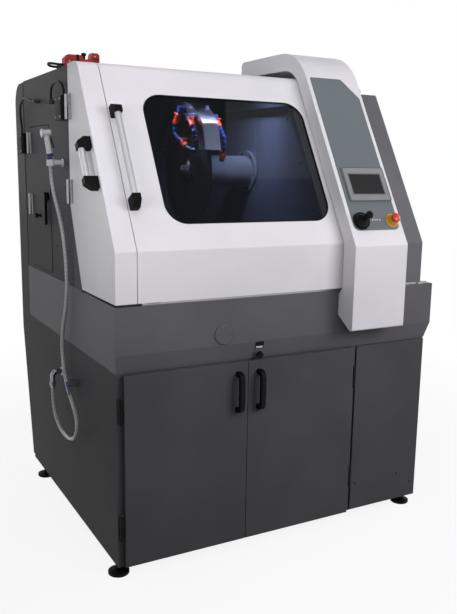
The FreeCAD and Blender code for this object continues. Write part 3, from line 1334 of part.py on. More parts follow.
def head_guides():
    """Two guide rails on the back of the chamber wall and the two bearings of the feed screw."""
    rails = []
    half = GUIDE_WIDTH / 2
    for y in guide_places():
        rails.append(block(HOUSING_LEFT, HOUSING_LEFT + GUIDE_DEPTH, y - half, y + half, GUIDE_FOOT_Z,
                           GUIDE_FOOT_Z + GUIDE_LENGTH))
    screw = screw_axis()
    for z in (GUIDE_FOOT_Z, GUIDE_FOOT_Z + GUIDE_LENGTH - BEARING_SIZE):
        bearing = block(HOUSING_LEFT, screw.x + BEARING_SIZE / 2, screw.y - BEARING_SIZE / 2,
                        screw.y + BEARING_SIZE / 2, z, z + BEARING_SIZE)
        bore = rod(V(screw.x, screw.y, z - 1), UP, SCREW_RADIUS + RUNNING_GAP, BEARING_SIZE + 2)
        rails.append(bearing.cut(bore))
    return Part.makeCompound(rails)


def screw_axis():
    """Axis of the vertical feed screw."""
    return V(CARRIAGE_X + CARRIAGE_THICK / 2, WHEEL_Y + SCREW_OFFSET, 0)


def feed_screw():
    """Vertical feed screw from bearing to bearing, with a collar above the lower one."""
    axis = screw_axis()
    foot = V(axis.x, axis.y, GUIDE_FOOT_Z - BEARING_SIZE / 2)
    screw = rod(foot, UP, SCREW_RADIUS, GUIDE_LENGTH + BEARING_SIZE)
    collar_z = GUIDE_FOOT_Z + BEARING_SIZE + SLIDE_GAP
    collar = rod(V(axis.x, axis.y, collar_z), UP, SCREW_RADIUS + BLOCK_WALL / 2, BLOCK_WALL)
    return fuse(screw, collar)


def spindle_head():
    """Quill that carries the spindle, its slot shutter, and the carriage on the guide rails."""
    quill = rod(V(QUILL_START, WHEEL_Y, WHEEL_Z), ALONG_X, QUILL_RADIUS, CARRIAGE_X - QUILL_START + 1)
    shutter_x = CHAMBER_RIGHT - SHUTTER_GAP
    ring_x = shutter_x - QUILL_RING_THICK
    ring = rod(V(ring_x, WHEEL_Y, WHEEL_Z), ALONG_X, QUILL_RING_RADIUS, QUILL_RING_THICK)
    half = SLOT_HALF + SHUTTER_OVERLAP
    shutter = block(shutter_x - SHEET, shutter_x, WHEEL_Y - half, WHEEL_Y + half, SLOT_FOOT - SHUTTER_OVERLAP,
                    SLOT_TOP + HEAD_TRAVEL + SHUTTER_OVERLAP)
    half_height = CARRIAGE_HEIGHT / 2
    low, high = WHEEL_Z - half_height, WHEEL_Z + half_height
    first, last = guide_places()
    screw = screw_axis()
    plate = block(CARRIAGE_X, CARRIAGE_X + CARRIAGE_THICK, first - GUIDE_WIDTH, screw.y + BEARING_SIZE / 2,
                  low, high)
    blocks = []
    reach = GUIDE_WIDTH / 2 + BLOCK_WALL
    for y in (first, last):
        for z in (low, high - BLOCK_HEIGHT):
            shoe = block(HOUSING_LEFT + SHEET, CARRIAGE_X, y - reach, y + reach, z, z + BLOCK_HEIGHT)
            half_groove = GUIDE_WIDTH / 2 + SLIDE_GAP
            groove = block(HOUSING_LEFT, HOUSING_LEFT + GUIDE_DEPTH + SLIDE_GAP, y - half_groove,
                           y + half_groove, z - 1, z + BLOCK_HEIGHT + 1)
            blocks.append(shoe.cut(groove))
    body = fuse(quill, ring, shutter, plate, *blocks)
    bore = rod(V(QUILL_START - 1, WHEEL_Y, WHEEL_Z), ALONG_X, SHAFT_RADIUS + RUNNING_GAP,
               CARRIAGE_X + CARRIAGE_THICK - QUILL_START + 2)
    nut = rod(V(screw.x, screw.y, low - 1), UP, SCREW_RADIUS + RUNNING_GAP, CARRIAGE_HEIGHT + 2)
    return body.cut(bore).cut(nut)


MOTOR_X = CARRIAGE_X + CARRIAGE_THICK


def spindle_motor():
    """Spindle motor flanged to the carriage: round can with a stepped end bell."""
    start = V(MOTOR_X, WHEEL_Y, WHEEL_Z)
    bell = MOTOR_LENGTH / 6
    can = rod(start, ALONG_X, MOTOR_RADIUS, MOTOR_LENGTH - bell)
    bell_foot = start + ALONG_X * (MOTOR_LENGTH - bell)
    end = Part.makeCone(MOTOR_RADIUS * 0.9, MOTOR_RADIUS * 0.7, bell, bell_foot, ALONG_X)
    bore = rod(start - ALONG_X, ALONG_X, SHAFT_RADIUS + RUNNING_GAP, MOTOR_LENGTH / 2)
    return fuse(can, end).cut(bore)


def spindle_shaft():
    """Shaft with its inner flange, and the outer flange and nut that clamp the wheel."""
    half = WHEEL_THICK / 2
    inner_x = WHEEL_X + half
    end = MOTOR_X + MOTOR_LENGTH / 3
    nose = WHEEL_X - half - WHEEL_FLANGE_THICK - WHEEL_NUT_THICK - 4.0
    shaft = rod(V(nose, WHEEL_Y, WHEEL_Z), ALONG_X, SHAFT_RADIUS * 0.8, inner_x - nose + 1)
    thick = rod(V(inner_x, WHEEL_Y, WHEEL_Z), ALONG_X, SHAFT_RADIUS, end - inner_x)
    flange = rod(V(inner_x, WHEEL_Y, WHEEL_Z), ALONG_X, WHEEL_FLANGE_RADIUS, WHEEL_FLANGE_THICK)
    arbor = fuse(shaft, thick, flange)
    bore = rod(V(nose - 1, WHEEL_Y, WHEEL_Z), ALONG_X, SHAFT_RADIUS * 0.8, inner_x - nose)
    outer_x = WHEEL_X - half - WHEEL_FLANGE_THICK
    rim = 5.0
    radius = WHEEL_FLANGE_RADIUS
    bevel = Part.makeCone(radius - rim, radius, rim, V(outer_x, WHEEL_Y, WHEEL_Z), ALONG_X)
    outer = fuse(bevel, rod(V(outer_x + rim, WHEEL_Y, WHEEL_Z), ALONG_X, radius, WHEEL_FLANGE_THICK - rim))
    nut_x = outer_x - WHEEL_NUT_THICK
    corners = [V(nut_x, WHEEL_Y + WHEEL_NUT_RADIUS * math.cos(math.radians(60 * i)),
                 WHEEL_Z + WHEEL_NUT_RADIUS * math.sin(math.radians(60 * i))) for i in range(6)]
    nut = Part.Face(Part.makePolygon(corners + [corners[0]])).extrude(ALONG_X * WHEEL_NUT_THICK)
    return Part.makeCompound([arbor, outer.cut(bore), nut.cut(bore)])


def cutting_wheel():
    """Thin abrasive wheel on the shaft."""
    start = HEAD_AXIS - ALONG_X * WHEEL_THICK / 2
    wheel = rod(start, ALONG_X, WHEEL_RADIUS, WHEEL_THICK)
    return wheel.cut(rod(start - ALONG_X, ALONG_X, SHAFT_RADIUS * 0.8, WHEEL_THICK + 2))


def guard_point(x, radius, degrees):
    """Point beside the wheel at a radius, counted from the rear over the top to the front."""
    angle = math.radians(degrees)
    return V(x, WHEEL_Y + radius * math.cos(angle), WHEEL_Z + radius * math.sin(angle))


def guard_body(x0, x1, inset, cheek):
    """Sector over the wheel with a straight nose at its front, inset from the guard's outside."""
    outer = GUARD_RADIUS - inset
    inner = GUARD_RADIUS - cheek
    a, b = GUARD_REAR_ANGLE, GUARD_FRONT_ANGLE
    mid = (a + b) / 2
    tip = guard_point(x0, outer, b)
    nose = V(x0, tip.y - GUARD_NOSE_REACH, tip.z - GUARD_NOSE_DROP)
    heel = V(x0, nose.y + cheek - inset, nose.z)
    back = guard_point(x0, inner, b)
    edges = [
        Part.Arc(guard_point(x0, outer, a), guard_point(x0, outer, mid), tip).toShape(),
        Part.LineSegment(tip, nose).toShape(),
        Part.LineSegment(nose, heel).toShape(),
        Part.LineSegment(heel, back).toShape(),
        Part.Arc(back, guard_point(x0, inner, mid), guard_point(x0, inner, a)).toShape(),
        Part.LineSegment(guard_point(x0, inner, a), guard_point(x0, outer, a)).toShape(),
    ]
    return Part.Face(Part.Wire(edges)).extrude(V(x1 - x0, 0, 0))


def wheel_guard():
    """Silver guard over the wheel: open towards it, with a bracket to the quill."""
    half = GUARD_WIDTH / 2
    shell = guard_body(WHEEL_X - half, WHEEL_X + half, 0, GUARD_CHEEK)
    hollow = guard_body(WHEEL_X - half + SHEET, WHEEL_X + half - SHEET, SHEET, GUARD_CHEEK + SHEET)
    shell = shell.cut(hollow)
    arm_x = WHEEL_X + half - SHEET
    arm_low = WHEEL_Z + QUILL_RADIUS - 2 * SHEET
    arm_high = WHEEL_Z + GUARD_RADIUS - GUARD_CHEEK / 2
    width = QUILL_RADIUS * 0.8
    arm = block(arm_x, arm_x + 2 * SHEET, WHEEL_Y - width, WHEEL_Y + width, arm_low - QUILL_RADIUS, arm_high)
    collar_length = 4 * SHEET + QUILL_SETBACK - half
    collar = rod(V(arm_x, WHEEL_Y, WHEEL_Z), ALONG_X, QUILL_RADIUS + 2 * SHEET, collar_length)
    body = fuse(shell, arm, collar)
    seat = rod(V(QUILL_START, WHEEL_Y, WHEEL_Z), ALONG_X, QUILL_RADIUS, QUILL_SETBACK)
    clear = rod(V(arm_x - 1, WHEEL_Y, WHEEL_Z), ALONG_X, WHEEL_FLANGE_RADIUS + 2 * SHEET, QUILL_SETBACK)
    return body.cut(seat).cut(clear)


def bead_chain(points):
    """Segmented hose: one barrel bead per step along a path."""
    beads = []
    for start, end in zip(points, points[1:]):
        step = end - start
        count = max(1, round(step.Length / NOZZLE_BEAD_LENGTH))
        pitch = step.Length / count
        way = step * (1.0 / step.Length)
        for i in range(count):
            foot = start + way * (i * pitch)
            waist = foot + way * (pitch / 2)
            lower = Part.makeCone(NOZZLE_NECK_RADIUS, NOZZLE_HOSE_RADIUS, pitch / 2, foot, way)
            upper = Part.makeCone(NOZZLE_HOSE_RADIUS, NOZZLE_NECK_RADIUS, pitch / 2, waist, way)
            beads.append(lower.fuse(upper))
    chain = beads[0].fuse(beads[1:])
    return chain.removeSplitter()


# Shares of a coolant hose's spread, forward reach and drop, from its valve to its tip
FRONT_HOSE = [(0, 0, 0), (1, 0.55, 0.26), (1.4, 0.96, 0.51), (1, 1.0, 0.78), (0, 0.86, 1.0)]
SIDE_HOSE = [(0, 0, 0), (0.5, -0.26, 0.19), (1, -0.55, 0.38), (1, -0.55, 0.55), (0.8, -0.14, 0.68),
             (0.5, 0.37, 0.74), (0.5, 0.93, 0.89), (0.5, 1.64, 0.96), (0.5, 2.18, 0.96)]


def coolant_hose(way, angle, shares, drop):
    """Valve on one cheek of the guard with its segmented hose: way -1 is left of the wheel."""
    x = WHEEL_X + way * GUARD_WIDTH / 2
    foot = guard_point(x, GUARD_RADIUS - GUARD_CHEEK * NOZZLE_CHEEK_SHARE, angle)
    out = ALONG_X * way
    start = foot + out * (NOZZLE_VALVE_LENGTH + NOZZLE_HOSE_RADIUS)
    valve = rod(foot, out, NOZZLE_VALVE_RADIUS, NOZZLE_VALVE_LENGTH + 2 * NOZZLE_HOSE_RADIUS)
    points = []
    for spread, reach, fall in shares:
        points.append(start + V(way * spread * NOZZLE_SPREAD, -reach * NOZZLE_REACH, -fall * drop))
    return fuse(valve, bead_chain(points))


def coolant_hoses():
    """Coolant valves and segmented hoses: one in front on each side of the guard, one more on its left."""
    left = coolant_hose(-1, FRONT_NOZZLE_ANGLE, FRONT_HOSE, NOZZLE_DROP * LEFT_NOZZLE_SHARE)
    right = coolant_hose(1, FRONT_NOZZLE_ANGLE, FRONT_HOSE, NOZZLE_DROP)
    side = coolant_hose(-1, SIDE_NOZZLE_ANGLE, SIDE_HOSE, NOZZLE_DROP)
    return Part.makeCompound([left, right, side])


# Table

TABLE_FOOT = TABLE_TOP - TABLE_THICK
TABLE_WIDTH = 2 * (WHEEL_FROM_WALL - TABLE_WALL_GAP)
TABLE_LEFT = WHEEL_X - TABLE_WIDTH / 2
WAY_LENGTH = TABLE_DEPTH + 2 * (TABLE_TRAVEL + WAY_OVERRUN)
WAY_TOP = TABLE_FOOT - SLIDE_GAP


def cutting_table():
    """Slotted table: T-slots along X, a kerf for the wheel along Y, and keys on the ways."""
    y0 = WHEEL_Y - TABLE_DEPTH / 2
    y1 = WHEEL_Y + TABLE_DEPTH / 2
    x1 = TABLE_LEFT + TABLE_WIDTH
    plate = block(TABLE_LEFT, x1, y0, y1, TABLE_FOOT, TABLE_TOP)
    half_slot = TABLE_SLOT / 2
    half_head = TABLE_SLOT_HEAD / 2
    neck_z = TABLE_TOP - TABLE_SLOT_NECK
    slots = []
    for i in range(TABLE_SLOT_COUNT):
        y = y0 + TABLE_DEPTH * (i + 0.5) / TABLE_SLOT_COUNT
        slots.append(block(TABLE_LEFT - 1, x1 + 1, y - half_slot, y + half_slot, neck_z, TABLE_TOP + 1))
        slots.append(block(TABLE_LEFT - 1, x1 + 1, y - half_head, y + half_head, neck_z - TABLE_SLOT_FOOT,
                           neck_z))
    half_kerf = TABLE_KERF / 2
    slots.append(block(WHEEL_X - half_kerf, WHEEL_X + half_kerf, y0 - 1, y1 + 1, TABLE_FOOT + TABLE_THICK / 3,
                       TABLE_TOP + 1))
    keys = []
    for x in way_places():
        for side in (-1, 1):
            inside = x + side * (WAY_WIDTH / 2 + SLIDE_GAP)
            near, far = sorted((inside, inside + side * BLOCK_WALL))
            keys.append(block(near, far, y0, y1, TABLE_FOOT - BLOCK_WALL, TABLE_FOOT))
    return fuse(plate.cut(slots), *keys)


def way_places():
    """X of the two ways under the table."""
    return [WHEEL_X - WAY_SPACING / 2, WHEEL_X + WAY_SPACING / 2]


def table_ways():
    """Two ways along Y that stand on the tub's floor."""
    half = WAY_WIDTH / 2
    y0 = WHEEL_Y - WAY_LENGTH / 2
    y1 = WHEEL_Y + WAY_LENGTH / 2
    return Part.makeCompound([block(x - half, x + half, y0, y1, TUB_FLOOR, WAY_TOP) for x in way_places()])


# Coolant bay

def coolant_tank():
    """Open coolant tank on the cabinet's floor with a lid strip at its rear for the pump."""
    x0 = LEFT + TANK_LEFT_GAP
    x1 = x0 + TANK_LENGTH
    y0 = TANK_FRONT_GAP
    y1 = y0 + TANK_DEPTH
    z0 = FOOT_HEIGHT + SHEET
    z1 = z0 + TANK_HEIGHT
    t = TANK_WALL
    shell = block(x0, x1, y0, y1, z0, z1).cut(block(x0 + t, x1 - t, y0 + t, y1 - t, z0 + t, z1 + 1))
    lid = block(x0, x1, y1 - TANK_LID_DEPTH, y1, z1 - TANK_WALL, z1)
    pump = pump_place()
    hole = rod(V(pump.x, pump.y, z1 - 2 * TANK_WALL), UP, PUMP_SUCTION_RADIUS + SLIDE_GAP, 3 * TANK_WALL)
    return fuse(shell, lid).cut(hole)


def pump_place():
    """Where the pump stands on the tank's lid."""
    x = LEFT + TANK_LEFT_GAP + TANK_LENGTH - 2 * PUMP_RADIUS
    y = TANK_FRONT_GAP + TANK_DEPTH - TANK_LID_DEPTH / 2
    return V(x, y, FOOT_HEIGHT + SHEET + TANK_HEIGHT)


def coolant_pump():
    """Immersion pump: flange on the lid, motor above it and suction tube below."""
    place = pump_place()
    flange = rod(place, UP, PUMP_RADIUS + 2 * SHEET, 2 * SHEET)
    motor = rod(place + UP * SHEET, UP, PUMP_RADIUS, PUMP_HEIGHT)
    suction = rod(place - UP * TANK_HEIGHT * 0.7, UP, PUMP_SUCTION_RADIUS, TANK_HEIGHT * 0.7 + SHEET)
    return fuse(flange, motor, suction)


# Hand shower and water fittings

SHOWER_FOOT = V(SHOWER_X, SHOWER_Y, SHOWER_FOOT_Z)
HOLDER_TOP = SHOWER_FOOT_Z + HOLDER_LIFT + HOLDER_HEIGHT
GRIP_FOOT = V(SHOWER_X, SHOWER_Y, HOLDER_TOP + SLIDE_GAP)
GRIP_WAY = V(-math.sin(math.radians(SHOWER_LEAN)), 0, math.cos(math.radians(SHOWER_LEAN)))
GRIP_TOP = GRIP_FOOT + GRIP_WAY * SHOWER_GRIP_LENGTH


def handset_holder():
    """White bracket on the left wall: a barrel arm with an eye for the shower's neck."""
    z0 = SHOWER_FOOT_Z + HOLDER_LIFT
    half = HOLDER_WIDTH / 2
    arm = rod(V(SHOWER_X, SHOWER_Y, z0 + HOLDER_HEIGHT / 2), ALONG_X, HOLDER_HEIGHT / 2, WALL_X - SHOWER_X)
    eye = rod(V(SHOWER_X, SHOWER_Y, z0), UP, half, HOLDER_HEIGHT)
    foot = rod(V(WALL_X - SHEET, SHOWER_Y, z0 + HOLDER_HEIGHT / 2), ALONG_X, half, SHEET)
    hole = rod(V(SHOWER_X, SHOWER_Y, z0 - 1), UP, SHOWER_NECK_RADIUS + SLIDE_GAP, HOLDER_HEIGHT + 2)
    return fuse(arm, eye, foot).cut(hole)


def handset():
    """Hand shower: neck through the holder, leaning grip and a round spray head."""
    neck = rod(SHOWER_FOOT, UP, SHOWER_NECK_RADIUS, HOLDER_TOP - SHOWER_FOOT_Z + SHOWER_GRIP_RADIUS)
    collar = rod(GRIP_FOOT, UP, SHOWER_GRIP_RADIUS + 1.5, SHOWER_GRIP_RADIUS)
    grip_foot = GRIP_FOOT + UP * SHOWER_COLLAR_STEP
    grip = Part.makeCone(SHOWER_GRIP_RADIUS, SHOWER_GRIP_TOP_RADIUS, SHOWER_GRIP_LENGTH, grip_foot, GRIP_WAY)
    head_foot = GRIP_TOP + ALONG_X * (SHOWER_HEAD_LENGTH / 2)
    head_way = V(-1, 0, SHOWER_HEAD_TILT)
    head = Part.makeCone(SHOWER_HEAD_BACK_RADIUS, SHOWER_HEAD_RADIUS, SHOWER_HEAD_LENGTH, head_foot, head_way)
    return fuse(neck, collar, grip, head)


GRIP_SIDE = V(GRIP_WAY.z, 0, -GRIP_WAY.x)
TRIGGER_DROP = SHOWER_HEAD_RADIUS + SHOWER_COLLAR_STEP * 2
TRIGGER_PIVOT = GRIP_TOP - GRIP_WAY * TRIGGER_DROP + GRIP_SIDE * (SHOWER_GRIP_RADIUS + TRIGGER_STANDOFF)


def handset_trigger():
    """Squeeze lever on the wall side of the shower's grip."""
    half = TRIGGER_WIDTH / 2
    foot = TRIGGER_PIVOT - GRIP_WAY * TRIGGER_LENGTH + GRIP_SIDE * TRIGGER_SPLAY
    inner = GRIP_SIDE * (TRIGGER_STANDOFF - 2 * SLIDE_GAP)
    outer = GRIP_SIDE * TRIGGER_STANDOFF
    corners = [TRIGGER_PIVOT - inner, TRIGGER_PIVOT + outer, foot + outer, foot - inner * 0.5]
    plan = [p - ALONG_Y * half for p in corners]
    blade = Part.Face(Part.makePolygon(plan + [plan[0]])).extrude(ALONG_Y * 2 * half)
    knuckle = rod(TRIGGER_PIVOT - ALONG_Y * half, ALONG_Y, inner.Length, 2 * half)
    return fuse(blade, knuckle)


def hose_elbow():
    """Chrome water elbow out of the cabinet's side: wall flange, bend and hose nut."""
    r = ELBOW_BEND_RADIUS
    start = V(LEFT, ELBOW_Y, ELBOW_Z)
    turn_in = V(ELBOW_X + r, ELBOW_Y, ELBOW_Z)
    turn_out = V(ELBOW_X, ELBOW_Y, ELBOW_Z - r)
    middle = V(ELBOW_X + r * (1 - math.sqrt(0.5)), ELBOW_Y, ELBOW_Z - r * (1 - math.sqrt(0.5)))
    nut_top = ELBOW_FOOT_Z + 2 * ELBOW_NUT_RADIUS
    path = Part.Wire([
        Part.LineSegment(start, turn_in).toShape(),
        Part.Arc(turn_in, middle, turn_out).toShape(),
        Part.LineSegment(turn_out, V(ELBOW_X, ELBOW_Y, nut_top)).toShape(),
    ])
    pipe = path.makePipeShell([Part.Wire(Part.makeCircle(ELBOW_PIPE_RADIUS, start, ALONG_X))], True, False)
    flange = rod(start, V(-1, 0, 0), ELBOW_NUT_RADIUS + 4.0, 5.0)
    nut = hexagon(V(ELBOW_X, ELBOW_Y, nut_top - ELBOW_NUT_RADIUS * 0.2), ELBOW_NUT_RADIUS, ELBOW_NUT_RADIUS)
    ferrule = rod(V(ELBOW_X, ELBOW_Y, ELBOW_FOOT_Z), UP, ELBOW_PIPE_RADIUS, 2 * ELBOW_NUT_RADIUS + 1)
    return fuse(pipe, flange, nut, ferrule)


def hexagon(centre, radius, height):
    """Upright hexagonal nut below a centre point."""
    corners = [centre + V(radius * math.cos(math.radians(60 * i)), radius * math.sin(math.radians(60 * i)), 0)
               for i in range(6)]
    return Part.Face(Part.makePolygon(corners + [corners[0]])).extrude(UP * -height)


VALVE_FACE_X = LEFT - VALVE_STUB - VALVE_BODY_LENGTH


def ball_valve():
    """Ball valve on a stub out of the cabinet's side, with a stem for its lever."""
    out = V(-1, 0, 0)
    place = V(LEFT, VALVE_Y, VALVE_Z)
    stub = rod(place, out, VALVE_BODY_RADIUS * 0.7, VALVE_STUB + 1)
    corners = [V(LEFT - VALVE_STUB, VALVE_Y + VALVE_BODY_RADIUS * math.cos(math.radians(45 * i + 22.5)),
                 VALVE_Z + VALVE_BODY_RADIUS * math.sin(math.radians(45 * i + 22.5))) for i in range(8)]
    body = Part.Face(Part.makePolygon(corners + [corners[0]])).extrude(out * VALVE_BODY_LENGTH)
    stem = rod(V(VALVE_FACE_X + 1, VALVE_Y, VALVE_Z), out, VALVE_BODY_RADIUS * 0.3, 8.0)
    return fuse(stub, body, stem)


def valve_lever():
    """Blue lever on the valve's stem, pointing down and forward."""
    x0 = VALVE_FACE_X - SLIDE_GAP
    half = VALVE_LEVER_WIDTH / 2
    way = V(0, -math.sqrt(0.5), -math.sqrt(0.5))
    side = V(0, math.sqrt(0.5), -math.sqrt(0.5)) * half
    pivot = V(x0, VALVE_Y, VALVE_Z)
    back = pivot - way * half * 1.2
    tip = pivot + way * VALVE_LEVER_LENGTH
    corners = [back - side, tip - side, tip + side, back + side]
    wire = outline(corners, [half * 0.6, half * 0.9, half * 0.9, half * 0.6])
    plate = Part.Face(wire).extrude(V(-6.0, 0, 0))
    return plate.cut(rod(pivot + ALONG_X, V(-1, 0, 0), VALVE_BODY_RADIUS * 0.3 + RUNNING_GAP, 12.0))


def roof_interlock():
    """Red interlock on the roof beside the doors' seam: a lower switch, a waist and a taller key block."""
    y0 = INTERLOCK_Y - INTERLOCK_WIDTH / 2
    x0 = INTERLOCK_X
    x1 = x0 + INTERLOCK_LENGTH
    waist = ROOF_Z + INTERLOCK_HEIGHT * 0.55
    switch = ROOF_Z + INTERLOCK_HEIGHT * 0.8
    top = ROOF_Z + INTERLOCK_HEIGHT
    waist_left = x0 + INTERLOCK_LENGTH * 0.55
    waist_right = x0 + INTERLOCK_LENGTH * 0.72
    bevel = INTERLOCK_BEVEL
    line = [(x0, ROOF_Z), (x0, switch - 2 * bevel), (x0 + 2 * bevel, switch), (waist_left - bevel, switch),
            (waist_left, waist), (waist_right, waist), (waist_right + bevel, top), (x1 - bevel, top),
            (x1, top - bevel), (x1, ROOF_Z)]
    corners = [V(x, y0, z) for x, z in line]
    return Part.Face(Part.makePolygon(corners + [corners[0]])).extrude(ALONG_Y * INTERLOCK_WIDTH)


# Cords: hand-chosen points, from the piece that each cord leaves to the one that it goes into

HOSE = [
    SHOWER_FOOT,
    V(SHOWER_X, SHOWER_Y, 1536),
    V(-795, 604, 1462),
    V(-783, 579, 1384),
    V(-773, 560, 1302),
    V(-769, 547, 1216),
    V(-768, 536, 1130),
    V(-769, 536, 1046),
    V(-772, 556, 968),
    V(-775, 586, 896),
    V(-777, 602, 822),
    V(-779, 592, 750),
    V(-782, 556, 682),
    V(-785, 496, 626),
    V(-788, 426, 590),
    V(-791, 372, 556),
    V(-794, 352, 508),
    V(-796, 374, 462),
    V(-797, 424, 436),
    V(-798, 492, 424),
    V(-798, 564, 428),
    V(-798, 632, 448),
    V(-798, 684, 490),
    V(ELBOW_X, ELBOW_Y, 544),
    V(ELBOW_X, ELBOW_Y, ELBOW_FOOT_Z),
]
DOOR_CABLE_FOOT = V(WALL_X - SWITCH_DEPTH / 2, DOOR_SWITCH_Y + 2 * SWITCH_CHAMFER,
                    LEFT_DOOR_HINGE_Z[1] + HINGE_LENGTH / 2)
DOOR_CABLE = [
    DOOR_CABLE_FOOT,
    DOOR_CABLE_FOOT + UP * 16,
    DOOR_CABLE_FOOT + V(-1, 10, 38),
    DOOR_CABLE_FOOT + V(-3, 38, 55),
    DOOR_CABLE_FOOT + V(-5, 85, 61),
    DOOR_CABLE_FOOT + V(-7, 132, 55),
    DOOR_CABLE_FOOT + V(-7, 160, 38),
    DOOR_CABLE_FOOT + V(-6, 170, 16),
    DOOR_CABLE_FOOT + V(-6, 170, -2),
]
HATCH_CABLE_FOOT = V(LEFT - SWITCH_DEPTH / 2, HATCH_SWITCH_Y + SWITCH_WIDTH / 2,
                     HATCH_HINGE_Z[1] + HINGE_LENGTH / 2)
HATCH_CABLE = [
    HATCH_CABLE_FOOT,
    HATCH_CABLE_FOOT + UP * 26,
    HATCH_CABLE_FOOT + V(-1, 11, 60),
    HATCH_CABLE_FOOT + V(-3, 15, 96),
    HATCH_CABLE_FOOT + V(-5, -1, 130),
    HATCH_CABLE_FOOT + V(-5, -38, 152),
    HATCH_CABLE_FOOT + V(-5, -86, 160),
    HATCH_CABLE_FOOT + V(-4, -136, 156),
    HATCH_CABLE_FOOT + V(-3, -186, 143),
    HATCH_CABLE_FOOT + V(-2, -226, 134),
    HATCH_CABLE_FOOT + V(-2, -262, 134),
]
INTERLOCK_CABLE_FOOT = V(INTERLOCK_X, INTERLOCK_Y, ROOF_Z + GLAND_RADIUS)
INTERLOCK_CABLE = [
    INTERLOCK_CABLE_FOOT,
    INTERLOCK_CABLE_FOOT - ALONG_X * 16,
    INTERLOCK_CABLE_FOOT + V(-34, 7, 2),
    INTERLOCK_CABLE_FOOT + V(-46, 24, 5),
    INTERLOCK_CABLE_FOOT + V(-49, 45, 7),
    INTERLOCK_CABLE_FOOT + V(-46, 66, 5),
    INTERLOCK_CABLE_FOOT + V(-34, 83, 2),
    INTERLOCK_CABLE_FOOT + V(-16, 90, 0),
    INTERLOCK_CABLE_FOOT + V(0, 90, 0),
]


def cord(points, radius, name):
    """Round cord along a route: straight runs joined by arcs as large as the runs allow."""
    count = len(points)
    edges = []
    here = points[0]
    radii = []
    length = 0.0
    for i in range(1, count - 1):
        back = points[i - 1] - points[i]
        ahead = points[i + 1] - points[i]
        run = min(back.Length, ahead.Length)
        back.normalize()
        ahead.normalize()
        turn = math.pi - back.getAngle(ahead)
        setback = 0.45 * run
        bend = setback / math.tan(turn / 2)
        radii.append(bend)
        start = points[i] + back * setback
        end = points[i] + ahead * setback
        centre = points[i] + (back + ahead).normalize() * (bend / math.cos(turn / 2))
        middle = centre + (points[i] - centre).normalize() * bend
        edges.append(Part.LineSegment(here, start).toShape())
        edges.append(Part.Arc(start, middle, end).toShape())
        length += (start - here).Length + bend * turn
        here = end
    edges.append(Part.LineSegment(here, points[-1]).toShape())
    length += (points[-1] - here).Length
    path = Part.Wire(edges)
    ring = Part.Wire(Part.makeCircle(radius, points[0], points[1] - points[0]))
    tube = path.makePipeShell([ring], True, False)
    wanted = math.pi * radius ** 2 * length
    print(name, "length", round(length, 1), "least radius", round(min(radii), 1),
          "volume ratio", round(tube.Volume / wanted, 4))
    return tube


def shower_hose():
    """Hose from the hand shower down to the elbow."""
    return cord(HOSE, HOSE_RADIUS, "shower_hose")


def door_switch_cable():
    """Cable from the left door's switch into the wall."""
    return cord(DOOR_CABLE, CABLE_RADIUS, "door_switch_cable")


def hatch_switch_cable():
    """Cable from the hatch's switch into the wall."""
    return cord(HATCH_CABLE, CABLE_RADIUS, "hatch_switch_cable")


def interlock_cable():
    """Cable from the roof interlock back into the roof."""
    return cord(INTERLOCK_CABLE, CABLE_RADIUS, "interlock_cable")


PIECES = [
    base_cabinet, right_front_panel, levelling_feet, coolant_tub, left_wall, rear_cover, roof_panel,
    right_housing, chamber_walls, console_column, control_panel, touch_panel, estop_collar, estop_stem,
    estop_head, joystick_boot, joystick_lever, push_button, door_rails, door_hinges, cabinet_hinges,
    hinge_switches, roof_interlock, handset_holder, handset, handset_trigger, hose_elbow, ball_valve,
    valve_lever, shower_hose, door_switch_cable, hatch_switch_cable, interlock_cable, left_door,
    left_door_leaves, left_door_handle, left_handle_caps, front_door, window_pane, front_door_handle,
    front_handle_brackets, side_hatch, hatch_leaves, hatch_latch, left_cabinet_door, right_cabinet_door,
    left_bow_handle, right_bow_handle, spindle_head, spindle_motor, spindle_shaft, cutting_wheel,
    wheel_guard, coolant_hoses, head_guides, feed_screw, cutting_table, table_ways, coolant_tank,
    coolant_pump,
]


def main():
    """Builds every piece, moves it to the machine's origin and writes it out."""
    os.makedirs("parts", exist_ok=True)
    for piece in PIECES:
        shape = piece().translated(ORIGIN * -1)
        shape.exportStep("parts/" + piece.__name__ + ".step")


main()
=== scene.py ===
"""Looks of a floor-standing abrasive cut-off machine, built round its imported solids.

Sizes are the drawing's own millimetres: the cabinet's middle at x = 0, its front frame at y = 0, the front
facing -Y. at() moves them to the model's frame, in metres.
"""
from __future__ import annotations

import json
import logging
import math
from dataclasses import dataclass, field
from enum import Enum
from typing import Sequence

import bmesh
import bpy
from mathutils import Matrix, Vector


